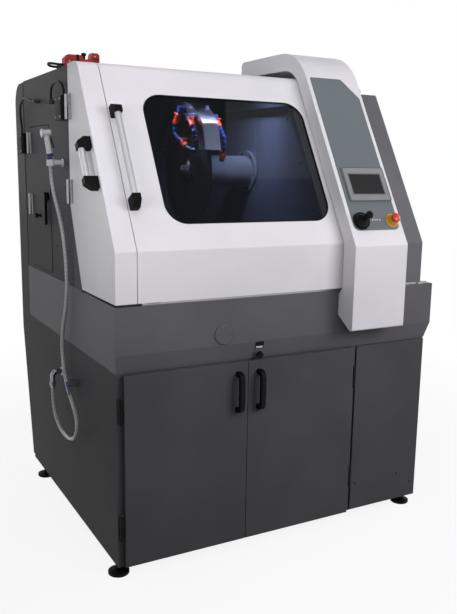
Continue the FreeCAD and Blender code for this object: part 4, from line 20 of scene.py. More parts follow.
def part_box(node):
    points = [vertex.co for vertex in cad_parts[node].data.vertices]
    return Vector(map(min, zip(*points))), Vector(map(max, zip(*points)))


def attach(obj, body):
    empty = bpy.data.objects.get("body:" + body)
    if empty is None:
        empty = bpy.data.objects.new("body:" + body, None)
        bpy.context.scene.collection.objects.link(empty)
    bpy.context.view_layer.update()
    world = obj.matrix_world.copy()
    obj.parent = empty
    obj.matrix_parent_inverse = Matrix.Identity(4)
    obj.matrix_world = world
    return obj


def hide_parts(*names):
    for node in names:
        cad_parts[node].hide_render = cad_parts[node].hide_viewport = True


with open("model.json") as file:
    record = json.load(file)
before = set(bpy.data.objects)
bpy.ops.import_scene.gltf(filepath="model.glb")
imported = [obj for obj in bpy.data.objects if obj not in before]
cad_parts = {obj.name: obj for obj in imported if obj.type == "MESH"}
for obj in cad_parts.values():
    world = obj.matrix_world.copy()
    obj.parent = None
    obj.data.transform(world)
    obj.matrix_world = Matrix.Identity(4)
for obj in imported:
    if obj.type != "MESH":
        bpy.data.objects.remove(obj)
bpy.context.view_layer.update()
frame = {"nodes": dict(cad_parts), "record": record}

LOG = logging.getLogger("cut_off_machine")
MM = 0.001
DRAWING_ORIGIN = Vector((-36.0, 645.0, 0.0))
HOOD_FACE_Y = -34.0
KINK_Z = 1280.0
HOOD_LEAN = math.radians(29.7)
PANEL_LEFT = 260.0
PANEL_FOOT_ALONG = 20.4
PANEL_OUT = 76.0
SMOOTH_ANGLE = math.radians(32)
# How far laid-on pieces and plates stay off the face under them.
LIFT = 0.02
PLATE_LIFT = 0.05

SLOPE_OUT = Vector((0.0, -math.cos(HOOD_LEAN), math.sin(HOOD_LEAN)))
SLOPE_UP = Vector((0.0, math.sin(HOOD_LEAN), math.cos(HOOD_LEAN)))
TO_FRONT = Vector((0.0, -1.0, 0.0))
TO_LEFT = Vector((-1.0, 0.0, 0.0))
TO_RIGHT = Vector((1.0, 0.0, 0.0))
UP = Vector((0.0, 0.0, 1.0))

Pair = tuple[float, float]
Point = tuple[float, float, float]
Pairs = tuple[Pair, ...]
Points = tuple[Point, ...]
Outline = Sequence[Pair]
Tree = bpy.types.NodeTree
Node = bpy.types.Node
Socket = bpy.types.NodeSocket


class Body(Enum):
    """Moving bodies that the scene's pieces ride on."""

    MACHINE = "machine"
    FRONT_DOOR = "front_door"
    LEFT_DOOR = "left_door"
    HATCH = "side_hatch"
    LEFT_LOWER_DOOR = "left_cabinet_door"
    RIGHT_LOWER_DOOR = "right_cabinet_door"
    JOYSTICK_BOOT = "joystick_boot"
    JOYSTICK_LEVER = "joystick_lever"
    CUTTING_HEAD = "cutting_head"


class Along(Enum):
    """Direction that a rolled or drawn metal's lines run in, as how far the pattern is stretched."""

    X = (0.04, 1.0, 1.0)
    Y = (1.0, 0.04, 1.0)
    Z = (1.0, 1.0, 0.04)
    NONE = (1.0, 1.0, 1.0)


def at(x: float, y: float, z: float) -> Vector:
    """Point of the drawing, in millimetres, as a point of the model in metres."""
    return (Vector((x, y, z)) - DRAWING_ORIGIN) * MM


def on_slope(x: float, along: float, out: float) -> Vector:
    """Point of the hood's slope, in metres.

    Args:
        x: place across the machine, in drawing millimetres.
        along: distance up the slope from its lower bend, in millimetres.
        out: distance out from the white face, in millimetres.

    Returns:
        The point in the model's frame.
    """
    foot = Vector((x, HOOD_FACE_Y, KINK_Z))
    place = foot + SLOPE_UP * along + SLOPE_OUT * out
    return at(*place)


def on_panel(across: float, up: float, out: float) -> Vector:
    """Point of the control panel: across from its left edge, up from its foot, out from its face."""
    return on_slope(PANEL_LEFT + across, PANEL_FOOT_ALONG + up, PANEL_OUT + out)


def standing(place: Vector, normal: Vector, upward: Vector = UP) -> Matrix:
    """Frame of a piece that stands on a face.

    Args:
        place: the point on the face, in metres.
        normal: the face's outward direction, which becomes the piece's +Z.
        upward: the direction that the piece's +Y leans to.

    Returns:
        The matrix from the piece's own millimetres to the model's metres.
    """
    z = normal.normalized()
    x = upward.cross(z).normalized()
    y = z.cross(x)
    turn = Matrix((x, y, z)).transposed().to_4x4()
    return Matrix.Translation(place) @ turn @ Matrix.Scale(MM, 4)


def add_object(name: str, data: bpy.types.ID) -> bpy.types.Object:
    """Makes an object and links it to the scene.

    Args:
        name: the object's name.
        data: its mesh, curve, lamp or camera.

    Returns:
        The new object.
    """
    made = bpy.data.objects.new(name, data)
    bpy.context.scene.collection.objects.link(made)
    return made


def to_linear(colour: str, alpha: float = 1.0) -> tuple[float, float, float, float]:
    """Linear colour of an sRGB hex value.

    Args:
        colour: hex value such as "#E6E5EA".
        alpha: fourth channel.

    Returns:
        Red, green, blue and alpha, linear.
    """
    values = [int(colour[i:i + 2], 16) / 255 for i in (1, 3, 5)]
    linear = [v / 12.92 if v <= 0.04045 else ((v + 0.055) / 1.055) ** 2.4 for v in values]
    return (linear[0], linear[1], linear[2], alpha)


def per_metre(size_mm: float) -> float:
    """Texture scale that gives features of a size in millimetres."""
    return 1.0 / (size_mm * MM)


def add_node(tree: Tree, kind: str, settings: dict | None = None, links: dict | None = None) -> Node:
    """Adds one node with its settings and links.

    Args:
        tree: the material's or world's node tree.
        kind: Blender's name of the node type, less its ShaderNode start.
        settings: values by socket name, socket number or property; "stops" are a ramp's (place, hex) pairs.
        links: by the name or number of an input, the socket that feeds it, or a node for its first output.

    Returns:
        The new node.
    """
    node = tree.nodes.new("ShaderNode" + kind)
    for key, value in (settings or {}).items():
        if key == "stops":
            ramp = node.color_ramp
            while len(ramp.elements) < len(value):
                ramp.elements.new(1.0)
            for element, (place, colour) in zip(ramp.elements, value):
                element.position = place
                element.color = to_linear(colour)
        elif isinstance(key, int) or key in node.inputs:
            node.inputs[key].default_value = value
        else:
            setattr(node, key, value)
    for key, source in (links or {}).items():
        socket = source.outputs[0] if isinstance(source, Node) else source
        tree.links.new(socket, node.inputs[key])
    return node


@dataclass(frozen=True)
class Finish:
    """A surface finish: its material is made once and shared by every piece that has it."""

    name: str
    slot: str

    def material(self) -> bpy.types.Material:
        """Material of this finish, made at its first use.

        Returns:
            The Blender material.
        """
        found = bpy.data.materials.get(self.name)
        if found is not None:
            return found
        made = bpy.data.materials.new(self.name)
        made.use_nodes = True
        tree = made.node_tree
        tree.nodes.clear()
        place = add_node(tree, "TexCoord")
        add_node(tree, "OutputMaterial", links={"Surface": self.shade(tree, place.outputs["Object"])})
        return made

    def shade(self, tree: Tree, place: Socket) -> Node:
        """Adds the surface's nodes, each finish in its own way.

        Args:
            tree: the material's node tree.
            place: coordinates on the piece, in metres.

        Returns:
            The surface shader.
        """
        raise NotImplementedError


@dataclass(frozen=True)
class PowderCoat(Finish):
    """Powder coat baked on sheet steel: even colour, a faint orange peel, paler where it thins on edges."""

    colour: str
    shade_colour: str
    edge_colour: str
    roughness: float
    peel_mm: float = 5.0
    peel_depth_mm: float = 0.12
    cloud_mm: float = 320.0
    edge_mm: float = 2.5
    shine: float = 0.25
    ior: float = 1.5

    def shade(self, tree: Tree, place: Socket) -> Node:
        """Clouded colour with pale edges, uneven gloss and orange peel, which is drawn coarser than real.

        Args:
            tree: the material's node tree.
            place: coordinates on the piece, in metres.

        Returns:
            The surface shader.
        """
        cloud = add_node(tree, "TexNoise", {"Scale": per_metre(self.cloud_mm), "Detail": 4.0},
                         {"Vector": place})
        body = add_node(tree, "ValToRGB", {"stops": [(0.35, self.shade_colour), (0.65, self.colour)]},
                        {"Fac": cloud})
        rounded = add_node(tree, "Bevel", {"samples": 4, "Radius": self.edge_mm * MM})
        facing = add_node(tree, "NewGeometry")
        bend = add_node(tree, "VectorMath", {"operation": "DOT_PRODUCT"},
                        {0: rounded, 1: facing.outputs["Normal"]})
        edge = add_node(tree, "MapRange", {"From Min": 0.98, "From Max": 0.80}, {0: bend.outputs["Value"]})
        paint = add_node(tree, "Mix", {"data_type": "RGBA", 7: to_linear(self.edge_colour)},
                         {0: edge, 6: body})
        gloss = add_node(tree, "MapRange", {"To Min": self.roughness - 0.05, "To Max": self.roughness + 0.07},
                         {0: cloud})
        peel = add_node(tree, "TexNoise", {"Scale": per_metre(self.peel_mm), "Detail": 2.0},
                        {"Vector": place})
        bump = add_node(tree, "Bump", {"Strength": 0.35, "Distance": self.peel_depth_mm * MM},
                        {"Height": peel, "Normal": rounded})
        return add_node(tree, "BsdfPrincipled", {"IOR": self.ior, "Specular IOR Level": self.shine},
                        {"Base Color": paint.outputs[2], "Roughness": gloss, "Normal": bump})


@dataclass(frozen=True)
class MouldedPlastic(Finish):
    """Injection-moulded ABS or nylon: the mould's fine spark texture, a soft gloss, slight flow shading."""

    colour: str
    shade_colour: str
    roughness: float
    grain_mm: float = 2.0
    grain_depth_mm: float = 0.15
    flow_mm: float = 40.0
    shine: float = 0.5
    ior: float = 1.53

    def shade(self, tree: Tree, place: Socket) -> Node:
        """Flow-shaded colour, uneven gloss and spark texture, drawn coarser than real so that it shows.

        Args:
            tree: the material's node tree.
            place: coordinates on the piece, in metres.

        Returns:
            The surface shader.
        """
        flow = add_node(tree, "TexNoise", {"Scale": per_metre(self.flow_mm), "Detail": 3.0},
                        {"Vector": place})
        body = add_node(tree, "ValToRGB", {"stops": [(0.3, self.shade_colour), (0.7, self.colour)]},
                        {"Fac": flow})
        grain = add_node(tree, "TexNoise", {"Scale": per_metre(self.grain_mm), "Detail": 1.0},
                         {"Vector": place})
        gloss = add_node(tree, "MapRange", {"To Min": self.roughness - 0.06, "To Max": self.roughness + 0.08},
                         {0: grain})
        bump = add_node(tree, "Bump", {"Strength": 0.4, "Distance": self.grain_depth_mm * MM},
                        {"Height": grain})
        return add_node(tree, "BsdfPrincipled", {"IOR": self.ior, "Specular IOR Level": self.shine},
                        {"Base Color": body, "Roughness": gloss, "Normal": bump})


@dataclass(frozen=True)
class WorkedMetal(Finish):
    """Bare, anodised, plated or ground metal: lines of the tool or the die break up its reflections."""

    colour: str
    shade_colour: str
    roughness: float
    line_mm: float = 1.6
    along: Along = Along.NONE
    line_depth_mm: float = 0.04

    def shade(self, tree: Tree, place: Socket) -> Node:
        """Metal with lines of working in colour, gloss and relief, drawn coarser than real so that they show.

        Args:
            tree: the material's node tree.
            place: coordinates on the piece, in metres.

        Returns:
            The surface shader.
        """
        stretched = add_node(tree, "Mapping", {"Scale": self.along.value}, {"Vector": place})
        lines = add_node(tree, "TexNoise", {"Scale": per_metre(self.line_mm), "Detail": 2.0},
                         {"Vector": stretched})
        body = add_node(tree, "ValToRGB", {"stops": [(0.3, self.shade_colour), (0.7, self.colour)]},
                        {"Fac": lines})
        gloss = add_node(tree, "MapRange", {"To Min": self.roughness * 0.75, "To Max": self.roughness * 1.3},
                         {0: lines})
        bump = add_node(tree, "Bump", {"Strength": 0.25, "Distance": self.line_depth_mm * MM},
                        {"Height": lines})
        return add_node(tree, "BsdfPrincipled", {"Metallic": 1.0},
                        {"Base Color": body, "Roughness": gloss, "Normal": bump})


@dataclass(frozen=True)
class BondedGrit(Finish):
    """Resin-bonded abrasive: dark matt resin full of grains, some of which glint."""

    colour: str
    grain_colour: str
    grain_mm: float = 4.0
    grain_depth_mm: float = 0.4
    roughness: float = 0.75

    def shade(self, tree: Tree, place: Socket) -> Node:
        """Speckled grains in colour and relief, drawn coarser than the real grit so that they show.

        Args:
            tree: the material's node tree.
            place: coordinates on the piece, in metres.

        Returns:
            The surface shader.
        """
        grains = add_node(tree, "TexVoronoi", {"Scale": per_metre(self.grain_mm)}, {"Vector": place})
        body = add_node(tree, "ValToRGB", {"stops": [(0.1, self.grain_colour), (0.45, self.colour)]},
                        {"Fac": grains})
        bump = add_node(tree, "Bump", {"Strength": 0.6, "Distance": self.grain_depth_mm * MM},
                        {"Height": grains})
        return add_node(tree, "BsdfPrincipled", {"Roughness": self.roughness},
                        {"Base Color": body, "Normal": bump})


@dataclass(frozen=True)
class ClearSheet(Finish):
    """Extruded polycarbonate sheet, smoke-tinted: see-through, with faint wipe marks in its gloss."""

    tint: str
    wipe_mm: float = 90.0
    haze: float = 0.01
    ior: float = 1.585

    def shade(self, tree: Tree, place: Socket) -> Node:
        """See-through sheet with slightly uneven gloss.

        Args:
            tree: the material's node tree.
            place: coordinates on the piece, in metres.

        Returns:
            The surface shader.
        """
        wipes = add_node(tree, "TexNoise", {"Scale": per_metre(self.wipe_mm), "Detail": 3.0},
                         {"Vector": place})
        gloss = add_node(tree, "MapRange", {"To Min": 0.0, "To Max": self.haze}, {0: wipes})
        clear = {"Base Color": to_linear(self.tint), "Transmission Weight": 1.0, "IOR": self.ior}
        return add_node(tree, "BsdfPrincipled", clear, {"Roughness": gloss})


@dataclass(frozen=True)
class PrintedFilm(Finish):
    """Polyester film printed from behind: a soft fade up the panel under a fine matt surface."""

    low_colour: str
    high_colour: str
    low_z: float
    high_z: float
    grain_mm: float = 2.5
    grain_depth_mm: float = 0.08
    gloss_range: Pair = (0.36, 0.5)

    def shade(self, tree: Tree, place: Socket) -> Node:
        """Colour that fades with height, and grain in gloss and relief, drawn coarser than real.

        Args:
            tree: the material's node tree.
            place: coordinates on the piece, in metres.

        Returns:
            The surface shader.
        """
        height = add_node(tree, "SeparateXYZ", links={"Vector": place})
        share = add_node(tree, "MapRange", {"From Min": self.low_z * MM, "From Max": self.high_z * MM},
                         {0: height.outputs["Z"]})
        fade = add_node(tree, "ValToRGB", {"stops": [(0.0, self.low_colour), (1.0, self.high_colour)]},
                        {"Fac": share})
        grain = add_node(tree, "TexNoise", {"Scale": per_metre(self.grain_mm)}, {"Vector": place})
        low, high = self.gloss_range
        gloss = add_node(tree, "MapRange", {"To Min": low, "To Max": high}, {0: grain})
        bump = add_node(tree, "Bump", {"Strength": 0.25, "Distance": self.grain_depth_mm * MM},
                        {"Height": grain})
        return add_node(tree, "BsdfPrincipled", {}, {"Base Color": fade, "Roughness": gloss, "Normal": bump})


@dataclass(frozen=True)
class FlexibleHose(Finish):
    """Extruded PVC hose or cable jacket: smooth, with the faint rings of its winding."""

    colour: str
    ring_colour: str
    roughness: float
    ring_mm: float = 9.0
    ring_depth_mm: float = 0.3
    shine: float = 0.5
    ior: float = 1.53
    # The wave pattern repeats about this many times for each unit of its scale.
    waves_per_scale: float = 6.3

    def shade(self, tree: Tree, place: Socket) -> Node:
        """Rings round the hose in colour and relief, drawn coarser than real so that they show.

        Args:
            tree: the material's node tree.
            place: coordinates on the piece, in metres.

        Returns:
            The surface shader.
        """
        scale = per_metre(self.ring_mm) / self.waves_per_scale
        wave = add_node(tree, "TexWave", {"bands_direction": "Z", "Scale": scale, "Distortion": 0.6},
                        {"Vector": place})
        rings = wave.outputs["Fac"]
        body = add_node(tree, "ValToRGB", {"stops": [(0.2, self.ring_colour), (0.7, self.colour)]},
                        {"Fac": rings})
        bump = add_node(tree, "Bump", {"Strength": 0.3, "Distance": self.ring_depth_mm * MM},
                        {"Height": rings})
        jacket = {"Roughness": self.roughness, "IOR": self.ior, "Specular IOR Level": self.shine}
        return add_node(tree, "BsdfPrincipled", jacket, {"Base Color": body, "Normal": bump})


# Smooth white powder coat: bright and even, with a soft wide highlight.
WHITE_COAT = PowderCoat("powder_coat_white", "white_powder_coat", "#E6E5E9", "#E0DFE4", "#EDECEF", 0.36)
# Dark grey powder coat: flat and even, with hardly any highlight.
DARK_COAT = PowderCoat("powder_coat_dark_grey", "dark_grey_powder_coat", "#555457", "#4E4D50", "#636265",
                       0.58, shine=0.05)
# The cabinet's grey powder coat painted a shade lighter, as painted light for the brighter lit tub: satin,
# with a weak wide highlight.
TUB_COAT_WITH_PAINTED_LIGHT = PowderCoat("powder_coat_grey_painted_light", "grey_powder_coat", "#636266", "#5C5B5F", "#727175", 0.50,
                      shine=0.14)
# Textured grey powder coat: a coarse peel that breaks up the light.
HOUSING_COAT = PowderCoat("powder_coat_textured_grey", "dark_grey_powder_coat", "#6E6E72", "#66666A",
                          "#77777B", 0.55, peel_mm=7.0, peel_depth_mm=0.4, shine=0.2)
# Blue-grey enamel: satin and dim, a quiet ground behind the pane.
CHAMBER_COAT = PowderCoat("enamel_chamber_grey", "chamber_paint", "#5A5F6C", "#515662", "#666B78", 0.50,
                          shine=0.15)
# Enamel over a rough casting: half gloss that ripples.
CASTING_PAINT = PowderCoat("enamel_on_casting", "machine_casting", "#72767E", "#686C74", "#80848B", 0.36,
                           peel_mm=9.0, peel_depth_mm=0.3)
# Dark enamel: a dull gloss with slow ripples.
MOTOR_PAINT = PowderCoat("enamel_motor_grey", "motor_paint", "#4A5058", "#41474F", "#5C626A", 0.45,
                         peel_mm=9.0)
# Black nylon: almost no highlight, so only its edges show.
BLACK_NYLON = MouldedPlastic("moulded_nylon_black", "black_plastic", "#0C0C0D", "#080809", 0.58, shine=0.09)
# Black rubber: flatter than nylon, with a coarser grain.
BLACK_RUBBER = MouldedPlastic("moulded_rubber_black", "black_rubber", "#101011", "#0B0B0C", 0.66,
                              grain_mm=3.0, shine=0.12)
# Yellow ABS: clean warm colour with a soft gloss.
YELLOW_ABS = MouldedPlastic("moulded_abs_yellow", "yellow_plastic", "#E2A815", "#D19A10", 0.40)
# Red ABS: bright colour with a clear gloss.
RED_ABS = MouldedPlastic("moulded_abs_red", "red_plastic", "#D22B20", "#C2231B", 0.34)
# Glass-filled nylon: deep red, dulled by its fibres.
RED_NYLON = MouldedPlastic("moulded_glass_filled_nylon_red", "red_plastic", "#A01414", "#8C0F10", 0.50,
                           shine=0.2)
# Blue nylon: strong colour with a soft gloss.
BLUE_NYLON = MouldedPlastic("moulded_nylon_blue", "blue_plastic", "#2F5FA8", "#274F93", 0.36)
# Dark blue acetal: a waxy, weak highlight on each bead.
HOSE_BEAD_BLUE = MouldedPlastic("moulded_acetal_dark_blue", "blue_plastic", "#20376A", "#182A54", 0.40,
                                shine=0.3)
# Orange acetal: strong warm colour with a waxy gloss.
ORANGE_ACETAL = MouldedPlastic("moulded_acetal_orange", "red_plastic", "#F0481C", "#DC3E16", 0.38)
# White ABS: clean white with a clear gloss.
WHITE_ABS = MouldedPlastic("moulded_abs_white", "white_plastic", "#E8E8EA", "#DFDFE2", 0.30)
# Etched glass over a dark display: grey-black, no sharp mirror image.
DISPLAY_GLASS = MouldedPlastic("etched_glass_over_dark_display", "black_plastic", "#242425", "#1F1F20", 0.42,
                               grain_mm=6.0, grain_depth_mm=0.02, shine=0.2)
# Acrylic lens: pale grey with a small sharp highlight.
LENS_WHITE = MouldedPlastic("moulded_acrylic_lens", "white_plastic", "#D9DBDD", "#C9CCCF", 0.18)
# Printed polyester film: slate grey that lightens towards the top.
PANEL_FILM = PrintedFilm("printed_polyester_film", "grey_panel_film", "#61676B", "#6C757A", 1300.0, 1900.0)
# Printed film on the display's bezel: even light grey, matt.
BEZEL_FILM = PrintedFilm("printed_film_on_bezel", "black_plastic", "#828387", "#8A8B8F", 1440.0, 1600.0)
# Anodised aluminium: pale silk sheen, streaked along the tube.
ANODISED_TUBE = WorkedMetal("anodised_aluminium_tube", "aluminium_tube", "#C8C8CB", "#BEBEC2", 0.50, 1.8,
                            Along.Z)
# Satin chrome plate: grey blurred reflections, no streaks.
CHROME = WorkedMetal("satin_chrome_plate", "chromed_steel", "#88888B", "#7C7C7F", 0.30, 6.0)
# Ground steel: bright, with grinding lines from front to rear.
GROUND_STEEL = WorkedMetal("ground_steel", "steel", "#A9A9AC", "#98989B", 0.30, 1.6, Along.Y)
# Brushed stainless sheet: cool and bright, with lines along the brushing.
GUARD_SHEET = WorkedMetal("brushed_stainless_sheet", "guard_sheet", "#B9BCC4", "#A9ACB5", 0.30, 1.8, Along.X)
# Rolled stainless sheet: duller, with lines along the rolling.
TANK_SHEET = WorkedMetal("rolled_stainless_tank_sheet", "tank_sheet", "#A2A4A8", "#96989C", 0.36, 2.0,
                         Along.X)
# Zinc plate: mid grey metal with small soft glints.
ZINC_STEEL = WorkedMetal("zinc_plated_steel", "steel", "#8F9093", "#7C7D80", 0.34, 3.0)
# Blackened steel: dark metal with a faint sheen.
BLACK_STEEL = WorkedMetal("blackened_steel", "steel", "#2E2E30", "#252527", 0.40, 3.0)
# Resin-bonded abrasive: nearly black and dull, speckled with grains.
RESIN_WHEEL = BondedGrit("resin_bonded_abrasive", "abrasive", "#101014", "#1D1E23")
# Polycarbonate sheet: clear, a little smoky, with mirror-like reflections.
CLEAR_PANE = ClearSheet("polycarbonate_sheet", "clear_sheet", "#A9AEB9")
# PVC hose: light grey and glossy, with faint rings.
GREY_HOSE = FlexibleHose("pvc_hose_grey", "grey_hose", "#BEBEC2", "#B4B4B8", 0.26)
# PVC cable jacket: black and matt, with fine rings.
BLACK_CABLE = FlexibleHose("pvc_cable_black", "black_rubber", "#101011", "#0B0B0C", 0.55, ring_mm=5.0,
                           shine=0.15)

SLOT_FINISH: dict[str, Finish] = {finish.slot: finish for finish in (
    WHITE_COAT, DARK_COAT, TUB_COAT_WITH_PAINTED_LIGHT, CHAMBER_COAT, PANEL_FILM, BLACK_NYLON, BLACK_RUBBER, YELLOW_ABS, RED_ABS,
    BLUE_NYLON, WHITE_ABS, ANODISED_TUBE, CLEAR_PANE, CHROME, GROUND_STEEL, GUARD_SHEET, CASTING_PAINT,
    MOTOR_PAINT, TANK_SHEET, RESIN_WHEEL, GREY_HOSE)}
NODE_FINISH: dict[str, Finish] = {
    "coolant_hoses": HOSE_BEAD_BLUE,
    "touch_panel": BEZEL_FILM,
    "right_housing": HOUSING_COAT,
    "roof_interlock": RED_NYLON,
}


def let_ride(piece: bpy.types.Object, body: Body, instead_of: Sequence[str]) -> None:
    """Ties a piece to what it belongs to.

    Args:
        piece: the new object.
        body: the body that it moves with.
        instead_of: solids that it stands for.
    """
    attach(piece, body.value)
    if instead_of:
        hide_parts(*instead_of)
    LOG.info("%s rides on %s", piece.name, body.value)


@dataclass
class MeshMaker:
    """Collects the parts of one piece in its own millimetres and makes one object of them."""

    name: str
    mesh: bmesh.types.BMesh = field(default_factory=bmesh.new)

    def lathe(self, profile: Outline, where: Matrix, steps: int = 32, socket: float = 0.0) -> None:
        """Adds a turned form.

        Args:
            profile: (radius, height) pairs from the foot to the top; a radius of 0 closes an end.
            where: frame that the form stands in.
            steps: how many faces go round.
            socket: radius below which the rings are six-sided, for a screw's hexagon socket.
        """
        rings = []
        for radius, height in profile:
            if radius <= 0:
                rings.append([self.mesh.verts.new(where @ Vector((0, 0, height)))])
                continue
            ring = []
            for i in range(steps):
                angle = math.tau * i / steps
                reach = radius
                if radius <= socket:
                    reach = radius * math.cos(math.pi / 6) / math.cos(angle % (math.pi / 3) - math.pi / 6)
                spot = Vector((reach * math.cos(angle), reach * math.sin(angle), height))
                ring.append(self.mesh.verts.new(where @ spot))
            rings.append(ring)
        self.bridge(rings)

    def bridge(self, rings: Sequence[Sequence[bmesh.types.BMVert]]) -> None:
        """Joins each ring of corners to the next.

        Args:
            rings: rings in order; a ring of one corner closes an end.
        """
        for low, high in zip(rings, rings[1:]):
            count = max(len(low), len(high))
            for i in range(count):
                j = (i + 1) % count
                corners = [low[i % len(low)], low[j % len(low)], high[j % len(high)], high[i % len(high)]]
                different = list(dict.fromkeys(corners))
                if len(different) > 2:
                    self.mesh.faces.new(different)

    def slab(self, outline: Outline, low: float, high: float, where: Matrix, bevel: float = 0.0) -> None:
        """Adds a plate.

        Args:
            outline: (x, y) corners in order.
            low: height of its underside.
            high: height of its top.
            where: frame that the plate lies in.
            bevel: how far its top edge is broken.
        """
        middle = Vector((sum(p[0] for p in outline), sum(p[1] for p in outline))) / len(outline)
        inner = []
        for p in outline:
            corner = Vector(p)
            to_middle = middle - corner
            inner.append(corner + to_middle.normalized() * min(bevel * 1.4, to_middle.length))
        levels = [(outline, low), (outline, high - bevel), (inner, high)]
        rings = [[self.mesh.verts.new(where @ Vector((x, y, z))) for x, y in line] for line, z in levels]
        self.bridge(rings)
        self.mesh.faces.new(rings[-1])
        self.mesh.faces.new(list(reversed(rings[0])))

    def frame_ring(self, outer: Sequence[Vector], inner: Sequence[Vector], low: Vector, high: Vector) -> None:
        """Adds a flat frame.

        Args:
            outer: its outer outline, in metres.
            inner: its inner outline, with as many points.
            low: offset of its underside from the outlines.
            high: offset of its top.
        """
        lines = [[p + low for p in outer], [p + high for p in outer], [p + high for p in inner],
                 [p + low for p in inner]]
        rings = [[self.mesh.verts.new(p) for p in line] for line in lines]
        self.bridge(rings + [rings[0]])

    def sweep(self, path: Sequence[Vector], section: Outline, side: Vector) -> None:
        """Adds a bar of one section along a path, with filled ends.

        Args:
            path: points of the bar's middle line, in metres.
            section: (side, outward) corners in millimetres.
            side: direction that stays square to the path all along it.
        """
        rings = []
        for i, point in enumerate(path):
            ahead = path[min(i + 1, len(path) - 1)] - path[max(i - 1, 0)]
            out = ahead.cross(side).normalized()
            rings.append([self.mesh.verts.new(point + (side * a + out * b) * MM) for a, b in section])
        self.bridge(rings)
        self.mesh.faces.new(list(reversed(rings[0])))
        self.mesh.faces.new(rings[-1])

    def finish(self, finish: Finish, body: Body = Body.MACHINE, instead_of: Sequence[str] = (),
               slot: str = "") -> None:
        """Makes the object, dresses it and lets it ride.

        Args:
            finish: the surface that it gets.
            body: the body that it moves with.
            instead_of: solids that it stands for.
            slot: the record's material slot, where it isn't the finish's own; not used.
        """
        bmesh.ops.recalc_face_normals(self.mesh, faces=self.mesh.faces[:])
        data = bpy.data.meshes.new(self.name)
        self.mesh.to_mesh(data)
        self.mesh.free()
        data.shade_smooth()
        data.set_sharp_from_angle(angle=SMOOTH_ANGLE)
        data.materials.append(finish.material())
        let_ride(add_object(self.name, data), body, instead_of)


def rounded_outline(corners: Outline, radius: float, steps: int = 8) -> list[Pair]:
    """Closed outline with every corner rounded.

    Args:
        corners: (x, y) corners in order.
        radius: radius of every corner.
        steps: how many points each corner gets, less one.

    Returns:
        The outline's points.
    """
    points: list[Pair] = []
    count = len(corners)
    for i in range(count):
        corner = Vector(corners[i])
        back = (Vector(corners[i - 1]) - corner).normalized()
        ahead = (Vector(corners[(i + 1) % count]) - corner).normalized()
        half = back.angle(ahead) / 2
        start = corner + back * (radius / math.tan(half))
        end = corner + ahead * (radius / math.tan(half))
        middle = corner + (back + ahead).normalized() * (radius / math.sin(half))
        for k in range(steps + 1):
            spoke = (start - middle).slerp(end - middle, k / steps)
            points.append(tuple(middle + spoke * radius))
    return points


def box_outline(width: float, height: float, radius: float) -> list[Pair]:
    """Rounded rectangle about its middle."""
    x, y = width / 2, height / 2
    return rounded_outline([(-x, -y), (x, -y), (x, y), (-x, y)], radius, 5)


def round_section(radius: float, steps: int = 16) -> list[Pair]:
    """Circle about its middle, for a bar's section."""
    angles = [math.tau * i / steps for i in range(steps)]
    return [(radius * math.cos(angle), radius * math.sin(angle)) for angle in angles]


def add_screws(maker: MeshMaker, places: Sequence[Vector], normal: Vector, radius: float,
               steps: int = 24) -> None:
    """Adds button-head screws with a hexagon socket that stand on a face.

    Args:
        maker: piece that they belong to.
        places: their feet on the face, in metres.
        normal: the face's outward direction.
        radius: radius of the head, in millimetres.
        steps: how many faces go round.
    """
    high = radius * 0.6
    profile = [(radius, 0), (radius, high * 0.25), (radius * 0.82, high * 0.72), (radius * 0.52, high),
               (radius * 0.42, high), (radius * 0.40, high * 0.4), (0, high * 0.4)]
    for place in places:
        maker.lathe(profile, standing(place, normal), steps, radius * 0.45)


def screw_set(name: str, places: Sequence[Vector], normal: Vector, radius: float, finish: Finish,
              body: Body = Body.MACHINE) -> None:
    """Makes one piece of several button-head screws.

    Args:
        name: the piece's name.
        places: the screws' feet on the face, in metres.
        normal: the face's outward direction.
        radius: radius of the heads, in millimetres.
        finish: their surface.
        body: the body that they ride on.
    """
    screws = MeshMaker(name)
    add_screws(screws, places, normal, radius)
    screws.finish(finish, body)


class SubAssembly:
    """One group of pieces, with its sizes as fields, that main() builds in its turn."""

    def build(self) -> None:
        """Makes the group's pieces, each group in its own way."""
        raise NotImplementedError


@dataclass(frozen=True)
class Lamp:
    """Soft rectangular lamp: place and target in drawing millimetres, sides in metres, spread in degrees."""

    name: str
    place: Point
    target: Point
    width: float
    height: float
    watts: float
    colour: str
    edge: Point = (1.0, 0.0, 0.0)
    spread: float = 180.0

    def hang(self) -> None:
        """Adds the lamp, aimed at its target and turned so that its width follows its edge direction."""
        data = bpy.data.lights.new(self.name, "AREA")
        data.shape = "RECTANGLE"
        data.size = self.width
        data.size_y = self.height
        data.energy = self.watts
        data.color = to_linear(self.colour)[:3]
        data.spread = math.radians(self.spread)
        edge = Vector(self.edge)
        back = (at(*self.place) - at(*self.target)).normalized()
        across = (edge - back * edge.dot(back)).normalized()
        turn = Matrix((across, back.cross(across), back)).transposed().to_4x4()
        add_object(self.name, data).matrix_world = Matrix.Translation(at(*self.place)) @ turn


